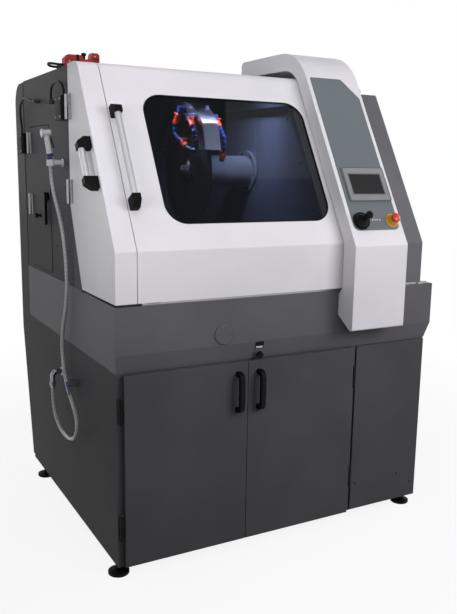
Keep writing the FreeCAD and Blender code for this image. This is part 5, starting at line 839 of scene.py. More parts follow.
@dataclass
class Studio(SubAssembly):
    """Camera at the photograph's viewing angle, soft lamps, pale floor and pale surroundings.

    The soft boxes light the front and the top, the fill boxes the sides and the rear. The dim card's
    lower edge is mirrored in the window as the straight edge of a faint veil. Two small lamps hang in the
    chamber.
    """

    eye: Point = (-1667.9, -2536.1, 1585.2)
    yaw: float = math.radians(28.70)
    pitch: float = math.radians(10.64)
    roll: float = math.radians(0.879)
    focal_share: float = 746.6 / 614.0
    sensor_height: float = 24.0
    clip_start: float = 0.05
    clip_end: float = 100.0
    floor_size: float = 40.0
    ambient: float = 0.10
    shadow_reach: float = 1.5
    fade_reach: float = 3.5
    shadow_share: float = 0.88
    lamps: tuple[Lamp, ...] = (
        Lamp("overhead_soft_box", (-200, 250, 4300), (0, 250, 1400), 2.2, 1.6, 15.5, "#FDFBFF"),
        Lamp("front_left_soft_box", (-850, -2300, 2500), (0, 0, 1300), 1.8, 1.4, 17.0, "#FFFDFF"),
        Lamp("upper_left_soft_box", (-1100, -700, 3300), (250, 0, 1750), 1.2, 1.0, 8.5, "#FDFBFF"),
        Lamp("front_right_soft_box", (1300, -2300, 2200), (100, 0, 1200), 1.6, 1.4, 46.5, "#FFFDFF"),
        Lamp("side_soft_box", (-1600, -450, 1550), (-720, 120, 1470), 0.6, 0.9, 0.75, "#FFFFFF", spread=50.0),
        Lamp("left_fill_box", (-2600, 2200, 1700), (-750, 1000, 1200), 1.6, 1.6, 6.5, "#FFFFFF"),
        Lamp("right_fill_box", (4000, 300, 2000), (750, 400, 1000), 2.0, 2.0, 30.0, "#FFFFFF"),
        Lamp("rear_fill_box", (-300, 4300, 2200), (0, 1300, 1000), 2.5, 2.0, 40.0, "#FFFFFF"),
        Lamp("dim_card", (2447, -341, 4016), (1665, 1424, 1218), 2.6, 1.8, 2.4, "#F4F6FF",
             (0.973, 0.126, -0.192)),
        Lamp("chamber_lamp", (-60, 440, 1920), (190, 640, 1330), 0.30, 0.05, 2.8, "#C4CCF0", spread=110.0),
        Lamp("guard_lamp", (-300, 640, 1905), (-230, 560, 1700), 0.15, 0.05, 1.1, "#DCE3FC", spread=120.0),
    )

    def build(self) -> None:
        """Sets camera, lamps, floor and world."""
        self.build_camera()
        for lamp in self.lamps:
            lamp.hang()
        self.build_floor()
        self.build_world()
        bpy.context.scene.view_settings.view_transform = "Standard"

    def build_camera(self) -> None:
        """Camera fitted to the straight edges of the machine in the photograph."""
        ahead = math.cos(self.pitch)
        forward = Vector((math.sin(self.yaw) * ahead, math.cos(self.yaw) * ahead, -math.sin(self.pitch)))
        level = Vector((math.cos(self.yaw), -math.sin(self.yaw), 0.0))
        upright = level.cross(forward)
        right = level * math.cos(self.roll) + upright * math.sin(self.roll)
        above = upright * math.cos(self.roll) - level * math.sin(self.roll)
        data = bpy.data.cameras.new("photo_camera")
        data.sensor_fit = "VERTICAL"
        data.sensor_height = self.sensor_height
        data.lens = self.focal_share * self.sensor_height
        data.clip_start = self.clip_start
        data.clip_end = self.clip_end
        camera = add_object("photo_camera", data)
        turn = Matrix((right, above, -forward)).transposed().to_4x4()
        camera.matrix_world = Matrix.Translation(at(*self.eye)) @ turn
        bpy.context.scene.camera = camera

    def build_floor(self) -> None:
        """Pale floor that reads white to the camera and in gloss, and keeps the machine's shadow."""
        maker = bmesh.new()
        bmesh.ops.create_grid(maker, x_segments=8, y_segments=8, size=self.floor_size / 2)
        data = bpy.data.meshes.new("studio_floor")
        maker.to_mesh(data)
        maker.free()
        floor = add_object("studio_floor", data)
        material = bpy.data.materials.new("pale_studio_floor")
        material.use_nodes = True
        tree = material.node_tree
        tree.nodes.clear()
        paint = add_node(tree, "BsdfDiffuse", {"Color": to_linear("#6F6F6F")})
        pale = add_node(tree, "BsdfDiffuse", {"Color": to_linear("#F4F4F4")})
        glow = add_node(tree, "Emission", {"Color": to_linear("#FFFFFF"), "Strength": 1.0})
        place = add_node(tree, "TexCoord")
        reach = add_node(tree, "VectorMath", {"operation": "LENGTH"}, {0: place.outputs["Object"]})
        far = add_node(tree, "MapRange", {"From Min": self.shadow_reach, "From Max": self.fade_reach,
                                          "To Min": self.shadow_share, "To Max": 1.0},
                       {0: reach.outputs["Value"]})
        seen = add_node(tree, "MixShader", {}, {0: far, 1: pale, 2: glow})
        surface = add_node(tree, "MixShader", {}, {0: self.seen_directly(tree), 1: paint, 2: seen})
        add_node(tree, "OutputMaterial", links={"Surface": surface})
        data.materials.append(material)

    @staticmethod
    def seen_directly(tree: Tree) -> Node:
        """Adds a value that is 1 for camera, glossy and transmission rays and 0 for light off matt faces.

        Args:
            tree: the floor's or the world's node tree.

        Returns:
            The node that gives the value.
        """
        rays = add_node(tree, "LightPath")
        mirror = add_node(tree, "Math", {"operation": "MAXIMUM"},
                          {0: rays.outputs["Is Glossy Ray"], 1: rays.outputs["Is Transmission Ray"]})
        either = add_node(tree, "Math", {"operation": "MAXIMUM"},
                          {0: rays.outputs["Is Camera Ray"], 1: mirror})
        first = add_node(tree, "Math", {"operation": "LESS_THAN", 1: 0.5}, {0: rays.outputs["Diffuse Depth"]})
        return add_node(tree, "Math", {"operation": "MULTIPLY"}, {0: either, 1: first})

    def build_world(self) -> None:
        """White surroundings up to above head height with a dim ceiling, and even light from all round."""
        world = bpy.data.worlds.new("pale_studio")
        bpy.context.scene.world = world
        world.use_nodes = True
        tree = world.node_tree
        tree.nodes.clear()
        place = add_node(tree, "TexCoord")
        height = add_node(tree, "SeparateXYZ", links={"Vector": place.outputs["Generated"]})
        stops = [(0.0, "#FFFFFF"), (0.42, "#FFFFFF"), (0.60, "#585A60"), (1.0, "#585A60")]
        shade = add_node(tree, "ValToRGB", {"stops": stops}, {"Fac": height.outputs["Z"]})
        seen = add_node(tree, "Background", {"Strength": 1.0}, {"Color": shade})
        even = add_node(tree, "Background", {"Color": to_linear("#FFFFFF"), "Strength": self.ambient})
        both = add_node(tree, "MixShader", {}, {0: self.seen_directly(tree), 1: even, 2: seen})
        add_node(tree, "OutputWorld", links={"Surface": both})


@dataclass
class Cords(SubAssembly):
    """Shower hose and the three short switch cables, each on one smooth line drawn by its route's points."""

    hose_radius: float = 8.0
    cable_radius: float = 5.0
    hose: Points = (
        (-797, 702, 590), (-797, 702, 544), (-798, 684, 490), (-798, 632, 448), (-798, 564, 428),
        (-798, 492, 424), (-797, 424, 436), (-796, 374, 462), (-794, 352, 508), (-791, 372, 556),
        (-788, 426, 590), (-785, 496, 626), (-782, 556, 682), (-779, 592, 750), (-777, 602, 822),
        (-775, 586, 896), (-772, 556, 968), (-769, 536, 1046), (-768, 536, 1130), (-769, 547, 1216),
        (-773, 560, 1302), (-783, 579, 1384), (-795, 604, 1462), (-800, 620, 1536), (-800, 620, 1576),
    )
    door_cable: Points = (
        (-761, 541, 1861), (-761, 541, 1877), (-762, 551, 1899), (-764, 579, 1916), (-766, 626, 1922),
        (-768, 673, 1916), (-768, 701, 1899), (-767, 711, 1877), (-767, 711, 1859),
    )
    hatch_cable: Points = (
        (-763, 1255, 1732), (-763, 1255, 1758), (-764, 1266, 1792), (-766, 1270, 1828), (-768, 1254, 1862),
        (-768, 1217, 1884), (-768, 1169, 1892), (-767, 1119, 1888), (-766, 1069, 1875), (-765, 1029, 1866),
        (-765, 993, 1866),
    )
    interlock_cable: Points = (
        (-742, 600, 1987), (-758, 600, 1987), (-776, 607, 1989), (-788, 624, 1992), (-791, 645, 1994),
        (-788, 666, 1992), (-776, 683, 1989), (-758, 690, 1987), (-742, 690, 1987),
    )

    def build(self) -> None:
        """Lays the hose and the cables."""
        hose = self.lay("shower_hose_line", self.hose, self.hose_radius, GREY_HOSE, "shower_hose")
        cables = (
            ("door_switch_lead", self.door_cable, "door_switch_cable", 0.2399),
            ("hatch_switch_lead", self.hatch_cable, "hatch_switch_cable", 0.4032),
            ("interlock_lead", self.interlock_cable, "interlock_cable", 0.1533),
        )
        for name, route, node, length in cables:
            lead = self.lay(name, route, self.cable_radius, BLACK_CABLE, node)

    def lay(self, name: str, route: Sequence[Point], radius: float, finish: Finish,
            node: str) -> bpy.types.Object:
        """Lays one cord.

        Args:
            name: the piece's name.
            route: control points in drawing millimetres.
            radius: the cord's radius in millimetres.
            finish: its surface.
            node: the solid that it stands for.

        Returns:
            The curve object.
        """
        data = bpy.data.curves.new(name, "CURVE")
        data.dimensions = "3D"
        data.bevel_depth = radius * MM
        data.bevel_resolution = 5
        data.use_fill_caps = True
        spline = data.splines.new("NURBS")
        spline.points.add(len(route) - 1)
        for control, spot in zip(spline.points, route):
            control.co = (*at(*spot), 1.0)
        spline.order_u = 3
        spline.use_endpoint_u = True
        spline.resolution_u = 10
        data.materials.append(finish.material())
        piece = add_object(name, data)
        let_ride(piece, Body.MACHINE, [node])
        return piece


@dataclass
class HoodTrim(SubAssembly):
    """Rubber seal round the sliding door's window."""

    window_left: float = -530.0
    window_right: float = 222.0
    window_foot: float = 104.0
    window_top: float = 670.0
    window_radius: float = 85.0
    corner_steps: int = 14
    seal_gap: float = 0.4
    seal_width: float = 4.0
    seal_proud: float = 1.2
    pane_depth: float = 3.0

    def build(self) -> None:
        """Builds the seal as a frame that lies on the pane, just inside the window's hole."""
        seal = MeshMaker("window_seal")
        seal.frame_ring(self.line(self.seal_gap), self.line(self.seal_width),
                        SLOPE_OUT * (-self.pane_depth * MM), SLOPE_OUT * (self.seal_proud * MM))
        seal.finish(BLACK_RUBBER, Body.FRONT_DOOR)

    def line(self, inset: float) -> list[Vector]:
        """Window outline on the white face, drawn in by an inset.

        Args:
            inset: how far inside the hole's edge, in millimetres.

        Returns:
            The outline's points in metres.
        """
        left, right = self.window_left + inset, self.window_right - inset
        foot, top = self.window_foot + inset, self.window_top - inset
        corners = [(left, foot), (right, foot), (right, top), (left, top)]
        outline = rounded_outline(corners, self.window_radius - inset, self.corner_steps)
        return [on_slope(x, along, 0) for x, along in outline]


@dataclass
class ConsoleTrim(SubAssembly):
    """Display and bezel rims, indicator lenses, the joystick's covers and the stop's yellow disc.

    Profiles are (radius, height) pairs above the panel's face.
    """

    touch_left: float = 17.0
    touch_foot: float = 132.0
    touch_width: float = 218.0
    touch_height: float = 158.0
    touch_thick: float = 7.0
    screen_width: float = 166.0
    screen_height: float = 94.0
    screen_depth: float = 2.0
    screen_gap: float = 0.8
    glass_thick: float = 1.2
    rim_border: float = 9.0
    stop_across: float = 208.0
    stop_up: float = 41.0
    disc_profile: Pairs = ((26.3, LIFT), (31.0, LIFT), (31.0, 1.0), (30.2, 1.6), (26.3, 1.6))
    stick_across: float = 41.0
    stick_up: float = 40.0
    stick_ring_radius: float = 36.0
    stick_ring_height: float = 14.0
    gaiter_radius: float = 29.6
    gaiter_folds: int = 5
    gaiter_fold_depth: float = 0.9
    gaiter_foot_angle: float = 18.0
    gaiter_sweep: float = 43.0
    gaiter_wall: Pair = (2.2, 1.2)
    sleeve_profile: Pairs = ((5.6, 31), (11.6, 32.5), (13.4, 44), (14.8, 56), (16.0, 62), (16.0, 67),
                             (14.6, 70.2), (12.2, 71.6))
    cap_profile: Pairs = ((4.6, 77.0), (4.4, 77.4), (3.0, 78.25), (1.5, 78.8), (0, 79.0))
    lens_across: tuple[float, ...] = (106.0, 118.0, 130.0, 144.0)
    lens_up: float = 46.0
    lens_profile: Pairs = ((3.4, 0), (3.4, 0.6), (2.6, 0.8), (2.4, 1.4), (1.5, 2.0), (0, 2.2))

    def build(self) -> None:
        """Builds every control's trim."""
        self.build_display()
        lenses = MeshMaker("indicator_lenses")
        for across in self.lens_across:
            lenses.lathe(self.lens_profile, standing(on_panel(across, self.lens_up, 0), SLOPE_OUT), 20)
        lenses.finish(LENS_WHITE)
        self.build_joystick()
        disc = MeshMaker("stop_disc")
        disc.lathe(self.disc_profile, standing(on_panel(self.stop_across, self.stop_up, 0), SLOPE_OUT), 48)
        disc.finish(YELLOW_ABS)

    def build_display(self) -> None:
        """Dark glass in the touch panel's recess, and bright rims round its bezel and its screen."""
        middle = on_panel(self.touch_left + self.touch_width / 2, self.touch_foot + self.touch_height / 2,
                          self.touch_thick - self.screen_depth)
        glass = MeshMaker("display_glass")
        outline = box_outline(self.screen_width - self.screen_gap, self.screen_height - self.screen_gap, 2.0)
        glass.slab(outline, PLATE_LIFT, self.glass_thick, standing(middle, SLOPE_OUT), 0.6)
        glass.finish(DISPLAY_GLASS)
        rim = MeshMaker("bezel_rim")
        around_bezel = (self.touch_width, self.touch_height, 3.2, 1.0)
        around_screen = (self.screen_width + self.rim_border, self.screen_height + self.rim_border, 2.0, 0.5)
        for width, height, band, high in (around_bezel, around_screen):
            outer = self.bezel_line(width, height, 5.0)
            inner = self.bezel_line(width - 2 * band, height - 2 * band, 3.0)
            rim.frame_ring(outer, inner, Vector(), SLOPE_OUT * (high * MM))
        rim.finish(ZINC_STEEL, slot="chromed_steel")

    def bezel_line(self, width: float, height: float, radius: float) -> list[Vector]:
        """Rounded outline on the touch panel's face, about its middle.

        Args:
            width: its width in millimetres.
            height: its height in millimetres.
            radius: radius of its corners.

        Returns:
            The outline's points in metres.
        """
        across = self.touch_left + self.touch_width / 2
        up = self.touch_foot + self.touch_height / 2
        return [on_panel(across + x, up + y, self.touch_thick) for x, y in box_outline(width, height, radius)]

    def build_joystick(self) -> None:
        """Flange, ribbed gaiter instead of the plain dome, and the lever's sleeve and cap."""
        where = standing(on_panel(self.stick_across, self.stick_up, 0), SLOPE_OUT)
        ring = self.stick_ring_radius
        top = self.stick_ring_height
        flange = MeshMaker("joystick_flange")
        outside = [(ring + 0.3, 0.1), (ring + 2.4, 0.4), (ring + 2.0, 3.0), (ring + 1.4, 3.8)]
        lip = [(ring + 1.2, top - 1.0), (ring - 0.8, top + 1.0), (ring - 8.2, top + 0.8),
               (ring - 8.6, top - 0.2)]
        flange.lathe(outside + lip, where, 48)
        flange.finish(BLACK_NYLON)
        gaiter = MeshMaker("joystick_gaiter")
        profile = []
        steps = self.gaiter_folds * 6
        for i in range(steps + 1):
            share = i / steps
            angle = math.radians(self.gaiter_foot_angle + self.gaiter_sweep * share)
            fold = (1 + math.cos(math.tau * self.gaiter_folds * share)) / 2
            reach = self.gaiter_radius - self.gaiter_fold_depth * fold
            profile.append((reach * math.cos(angle), reach * math.sin(angle)))
        across, down = self.gaiter_wall
        inside = [(r - across, z - down) for r, z in reversed(profile)]
        gaiter.lathe(profile + inside + [profile[0]], where, 40)
        gaiter.finish(BLACK_RUBBER, Body.JOYSTICK_BOOT, ["joystick_boot"])
        sleeve = MeshMaker("joystick_sleeve")
        sleeve.lathe(self.sleeve_profile, where, 32)
        sleeve.finish(BLACK_RUBBER, Body.JOYSTICK_LEVER, slot="black_plastic")
        cap = MeshMaker("joystick_top_cap")
        cap.lathe(self.cap_profile, where, 28)
        cap.finish(BLACK_NYLON, Body.JOYSTICK_LEVER)


@dataclass
class CabinetTrim(SubAssembly):
    """Bow grips, hinge sleeves, panel screws, round cover and the bare plate over the push button."""

    skirt_y: float = -22.0
    cover_x: float = -310.0
    cover_z: float = 939.0
    cover_radius: float = 40.5
    cover_thick: float = 5.2
    cover_screw_share: float = 0.62
    cover_screw_radius: float = 3.0
    fold_z: float = 896.0
    seam_y: float = -3.0
    seam_z: float = 822.0
    plate_x: float = -144.0
    plate_up_band: float = 58.5
    plate_width: float = 39.0
    plate_height: float = 31.0
    plate_thick: float = 1.8
    bar_share: float = 0.26
    bar_border: float = 8.0
    panel_y: float = -8.0
    panel_screws: Pairs = ((633, 174), (388, 174), (716, 118))
    panel_screw_radius: float = 5.0
    grip_width: float = 23.0
    grip_depth: float = 20.0
    grip_bend: float = 20.0
    grip_bend_steps: int = 6
    grip_foot_thick: float = 7.0
    hinge_left_x: float = -736.0
    hinge_right_x: float = 346.0
    hinge_y: float = -12.0
    hinge_heights: tuple[float, ...] = (217.0, 685.0)
    hinge_half: float = 48.0
    hinge_radius: float = 9.0
    hinge_gap: float = 0.4

    def build(self) -> None:
        """Builds the cabinet's trim."""
        self.build_cover()
        self.build_plate()
        self.build_sleeves("left_hinge_sleeves", self.hinge_left_x, Body.LEFT_LOWER_DOOR)
        self.build_sleeves("right_hinge_sleeves", self.hinge_right_x, Body.RIGHT_LOWER_DOOR)
        self.build_grip("left_bow_grip", "left_bow_handle", Body.LEFT_LOWER_DOOR)
        self.build_grip("right_bow_grip", "right_bow_handle", Body.RIGHT_LOWER_DOOR)
        places = [at(x, self.panel_y, z) for x, z in self.panel_screws]
        screw_set("panel_screws", places, TO_FRONT, self.panel_screw_radius, BLACK_STEEL)

    def build_sleeves(self, name: str, axis_x: float, body: Body) -> None:
        """Moulded black sleeves over both halves of a lower door's hinges.

        Args:
            name: the moving sleeves' name; the fixed ones have it with _fixed added.
            axis_x: place of the hinge line.
            body: the door that the upper halves ride on.
        """
        r = self.hinge_radius
        length = self.hinge_half - self.hinge_gap
        profile = [(r - 1.8, 0), (r - 0.5, 0), (r, 0.8), (r, length - 1.2), (r - 0.9, length),
                   (r - 1.8, length)]
        for title, rider, direction in ((name, body, UP), (name + "_fixed", Body.MACHINE, -UP)):
            sleeves = MeshMaker(title)
            for height in self.hinge_heights:
                foot = at(axis_x, self.hinge_y, height) + direction * (self.hinge_gap * MM)
                sleeves.lathe(profile, standing(foot, direction, TO_FRONT), 28)
            sleeves.finish(BLACK_NYLON, rider)

    def build_cover(self) -> None:
        """Round cover plate on the tub's skirt, with a bevelled rim and two small screws."""
        where = standing(at(self.cover_x, self.skirt_y, self.cover_z), TO_FRONT)
        r = self.cover_radius
        high = self.cover_thick
        cover = MeshMaker("round_cover")
        rim = [(r, 0), (r, high - 1.8), (r - 1.6, high - 0.2), (r - 4.5, high)]
        face = [(r - 5.4, high - 1.0), (r - 6.4, high), (0, high + 0.2)]
        cover.lathe(rim + face, where, 64)
        places = [where @ Vector((side * r * self.cover_screw_share, 0, high)) for side in (-1, 1)]
        add_screws(cover, places, TO_FRONT, self.cover_screw_radius, 16)
        # The cover takes the tub's coat, which is painted lighter than the cabinet's as painted light.
        cover.finish(TUB_COAT_WITH_PAINTED_LIGHT)

    def build_plate(self) -> None:
        """Bare dark plate with a light bar, on the leaning band over the push button."""
        up_band = Vector((0.0, self.skirt_y - self.seam_y, self.fold_z - self.seam_z)).normalized()
        band_out = up_band.cross(TO_LEFT)
        foot = Vector((self.plate_x, self.seam_y, self.seam_z))
        where = standing(at(*(foot + up_band * self.plate_up_band)), band_out)
        holder = MeshMaker("button_plate_frame")
        holder.slab(box_outline(self.plate_width, self.plate_height, 2.5), PLATE_LIFT, self.plate_thick,
                    where, 0.5)
        holder.finish(BLACK_NYLON)
        bar = MeshMaker("button_plate")
        bar_height = self.plate_height * self.bar_share
        bar_outline = box_outline(self.plate_width - self.bar_border, bar_height, 1.5)
        bar_place = where @ Matrix.Translation((0, -bar_height, 0))
        bar.slab(bar_outline, self.plate_thick - 0.1, self.plate_thick + 0.5, bar_place, 0.3)
        bar.finish(LENS_WHITE)

    def build_grip(self, name: str, node: str, body: Body) -> None:
        """Moulded bow grip with flat sides and broad feet, in the place of the plain bow.

        Args:
            name: the piece's name.
            node: the plain bow that it stands for.
            body: the door that it rides on.
        """
        low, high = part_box(node)
        x = (low.x + high.x) / 2
        face = high.y
        half = self.grip_depth / 2 * MM
        out = low.y + half
        foot, top = low.z + half, high.z - half
        bend = self.grip_bend * MM
        path = [Vector((x, face, foot))]
        for centre_z, start, end in ((foot + bend, 270, 180), (top - bend, 180, 90)):
            for i in range(self.grip_bend_steps + 1):
                angle = math.radians(start + (end - start) * i / self.grip_bend_steps)
                y = out + bend + bend * math.cos(angle)
                path.append(Vector((x, y, centre_z + bend * math.sin(angle))))
        path.append(Vector((x, face, top)))
        grip = MeshMaker(name)
        grip.sweep(path, box_outline(self.grip_width, self.grip_depth, 4.5), TO_RIGHT)
        for z in (foot, top):
            where = standing(Vector((x, face, z)), TO_FRONT)
            grip.slab(box_outline(self.grip_width, self.grip_depth - 0.4, 4.0), 0, self.grip_foot_thick,
                      where, 1.0)
        grip.finish(BLACK_NYLON, body, [node])


@dataclass
class WallTrim(SubAssembly):
    """Screws of the left wall, the hatch's knob, and the fronts of the chrome hinges and black switches."""

    wall_x: float = -748.0
    hatch_x: float = -750.0
    door_x: float = -760.0
    leaf_thick: float = 4.0
    leaf_gap: float = 1.5
    hinge_half: float = 49.0
    hinge_radius: float = 7.0
    hinge_leaf: float = 38.0
    hinge_screw_radius: float = 4.6
    hinge_screw_shares: tuple[float, ...] = (0.3, 0.8, 1.2, 1.7)
    door_screw_inset: float = 11.0
    wall_screw_inset: float = 24.0
    door_hinge_y: float = 488.0
    door_hinge_z: tuple[float, ...] = (1476.0, 1812.0)
    hatch_hinge_y: float = 1166.0
    hatch_hinge_z: tuple[float, ...] = (1393.0, 1683.0)
    wall_screws: Pairs = ((673, 1325), (739, 1227), (554, 1224), (695, 1110), (525, 1110))
    wall_screw_radius: float = 4.5
    knob_y: float = 1000.0
    knob_z: float = 1346.0
    knob_profile: Pairs = ((9, 0), (9, 3), (5.5, 4), (5.5, 12), (11, 15), (12.5, 20), (11, 25), (7, 27.5),
                           (0, 28))
    switch_front: Points = ((-774, 577, 1812), (-776, 1255, 1683))
    switch_width: float = 84.0
    switch_height: float = 94.0
    switch_thick: float = 2.5
    switch_screw_inset: Pair = (9.0, 11.0)
    switch_screw_radius: float = 4.2
    rib_count: int = 7
    rib_share: float = 0.62
    rib_high: float = 4.2

    def build(self) -> None:
        """Builds the left side's trim."""
        places = [at(self.wall_x, y, z) for y, z in self.wall_screws]
        screw_set("wall_screws", places, TO_LEFT, self.wall_screw_radius, BLACK_STEEL)
        knob = MeshMaker("hatch_knob")
        knob.lathe(self.knob_profile, standing(at(self.hatch_x, self.knob_y, self.knob_z), TO_LEFT), 28)
        knob.finish(BLACK_NYLON, Body.HATCH)
        self.build_hinges("left_door_hinge", self.door_hinge_y, self.door_hinge_z, self.door_x,
                          Body.LEFT_DOOR)
        self.build_hinges("hatch_hinge", self.hatch_hinge_y, self.hatch_hinge_z, self.hatch_x, Body.HATCH)
        self.build_switch_covers()

    def build_hinges(self, name: str, axis_y: float, heights: Sequence[float], face_x: float,
                     body: Body) -> None:
        """Lower half of each moving leaf, its screws, and the screws of the leaf on the wall.

        Args:
            name: start of the pieces' names.
            axis_y: place of the hinge line.
            heights: middle heights of the hinges.
            face_x: the door's face that the moving leaf lies on.
            body: the door that it rides on.
        """
        near = axis_y - self.hinge_radius - self.leaf_gap
        far = axis_y - self.hinge_leaf
        leaf = MeshMaker(name + "_leaf")
        moving: list[Vector] = []
        fixed: list[Vector] = []
        for height in heights:
            low = height - self.hinge_half
            where = standing(at(face_x, (near + far) / 2, height - self.hinge_half / 2), TO_LEFT)
            leaf.slab(box_outline(near - far, self.hinge_half - 0.6, 1.5), LIFT, self.leaf_thick, where, 0.6)
            spots = [low + self.hinge_half * share for share in self.hinge_screw_shares]
            moving += [at(face_x - self.leaf_thick, far + self.door_screw_inset, z) for z in spots]
            fixed += [at(self.wall_x - self.leaf_thick, axis_y + self.wall_screw_inset, z) for z in spots]
        leaf.finish(CHROME, body)
        screw_set(name + "_door_screws", moving, TO_LEFT, self.hinge_screw_radius, ZINC_STEEL, body)
        screw_set(name + "_wall_screws", fixed, TO_LEFT, self.hinge_screw_radius, ZINC_STEEL)

    def build_switch_covers(self) -> None:
        """Ribbed covers with corner screws on the two hinge switches."""
        cover = MeshMaker("switch_covers")
        corners: list[Vector] = []
        across = self.switch_width / 2 - self.switch_screw_inset[0]
        upward = self.switch_height / 2 - self.switch_screw_inset[1]
        pitch = self.switch_height * self.rib_share / self.rib_count
        for place in self.switch_front:
            where = standing(at(*place), TO_LEFT)
            face = box_outline(self.switch_width, self.switch_height, 4.0)
            cover.slab(face, LIFT, self.switch_thick, where, 1.0)
            for i in range(self.rib_count):
                rib = where @ Matrix.Translation((0, (i - (self.rib_count - 1) / 2) * pitch, 0))
                outline = box_outline(self.switch_width * self.rib_share, pitch * 0.5, 1.2)
                cover.slab(outline, self.switch_thick - 0.1, self.rib_high, rib, 0.6)
            corners += [where @ Vector((x * across, y * upward, self.switch_thick))
                        for x in (-1, 1) for y in (-1, 1)]
        cover.finish(BLACK_NYLON)
        screw_set("switch_screws", corners, TO_LEFT, self.switch_screw_radius, ZINC_STEEL)


@dataclass
class RoofTrim(SubAssembly):
    """Black strap, turning key, ribs and bolts of the red interlock on the roof."""

    roof_z: float = 1978.0
    hump_z: float = 2027.6
    waist_z: float = 2012.0
    front_y: float = 580.0
    rear_y: float = 620.0
    strap_x: float = -686.0
    strap_width: float = 11.0
    strap_thick: float = 1.6
    key_x: float = -655.0
    key_profile: Pairs = ((7, 0), (7, 16), (10, 17), (10.6, 19), (10.6, 25), (9.4, 26.5), (0, 26.8))
    key_bar: Pair = (5.0, 18.0)
    key_bar_span: Pair = (26.4, 27.8)
    rib_x: float = -610.0
    rib_count: int = 3
    rib_foot: float = 16.0
    rib_pitch: float = 11.0
    rib_width: float = 26.0
    rib_height: float = 4.0
    rib_thick: float = 1.8
    bolt_places: Pairs = ((-722, 2000), (-648, 1994), (-612, 2026))
    bolt_radius: float = 4.6

    def build(self) -> None:
        """Builds the interlock's trim."""
        strap = MeshMaker("interlock_strap")
        half = self.strap_thick / 2
        front, rear, top = self.front_y - half, self.rear_y + half, self.hump_z + half
        corners = ((front, self.roof_z), (front, top), (rear, top), (rear, self.roof_z))
        path = [at(self.strap_x, y, z) for y, z in corners]
        strap.sweep(path, box_outline(self.strap_width, self.strap_thick, 0.5), TO_RIGHT)
        middle_y = (self.front_y + self.rear_y) / 2
        where = standing(at(self.key_x, middle_y, self.waist_z), UP, TO_FRONT)
        strap.lathe(self.key_profile, where, 28)
        strap.slab(box_outline(*self.key_bar, 2.0), *self.key_bar_span, where, 0.6)
        for i in range(self.rib_count):
            height = self.roof_z + self.rib_foot + self.rib_pitch * i
            rib = standing(at(self.rib_x, self.front_y, height), TO_FRONT)
            strap.slab(box_outline(self.rib_width, self.rib_height, 1.5), LIFT, self.rib_thick, rib, 0.6)
        strap.finish(BLACK_NYLON)
        bolts = [at(x, self.front_y, z) for x, z in self.bolt_places]
        screw_set("interlock_bolts", bolts, TO_FRONT, self.bolt_radius, ZINC_STEEL)


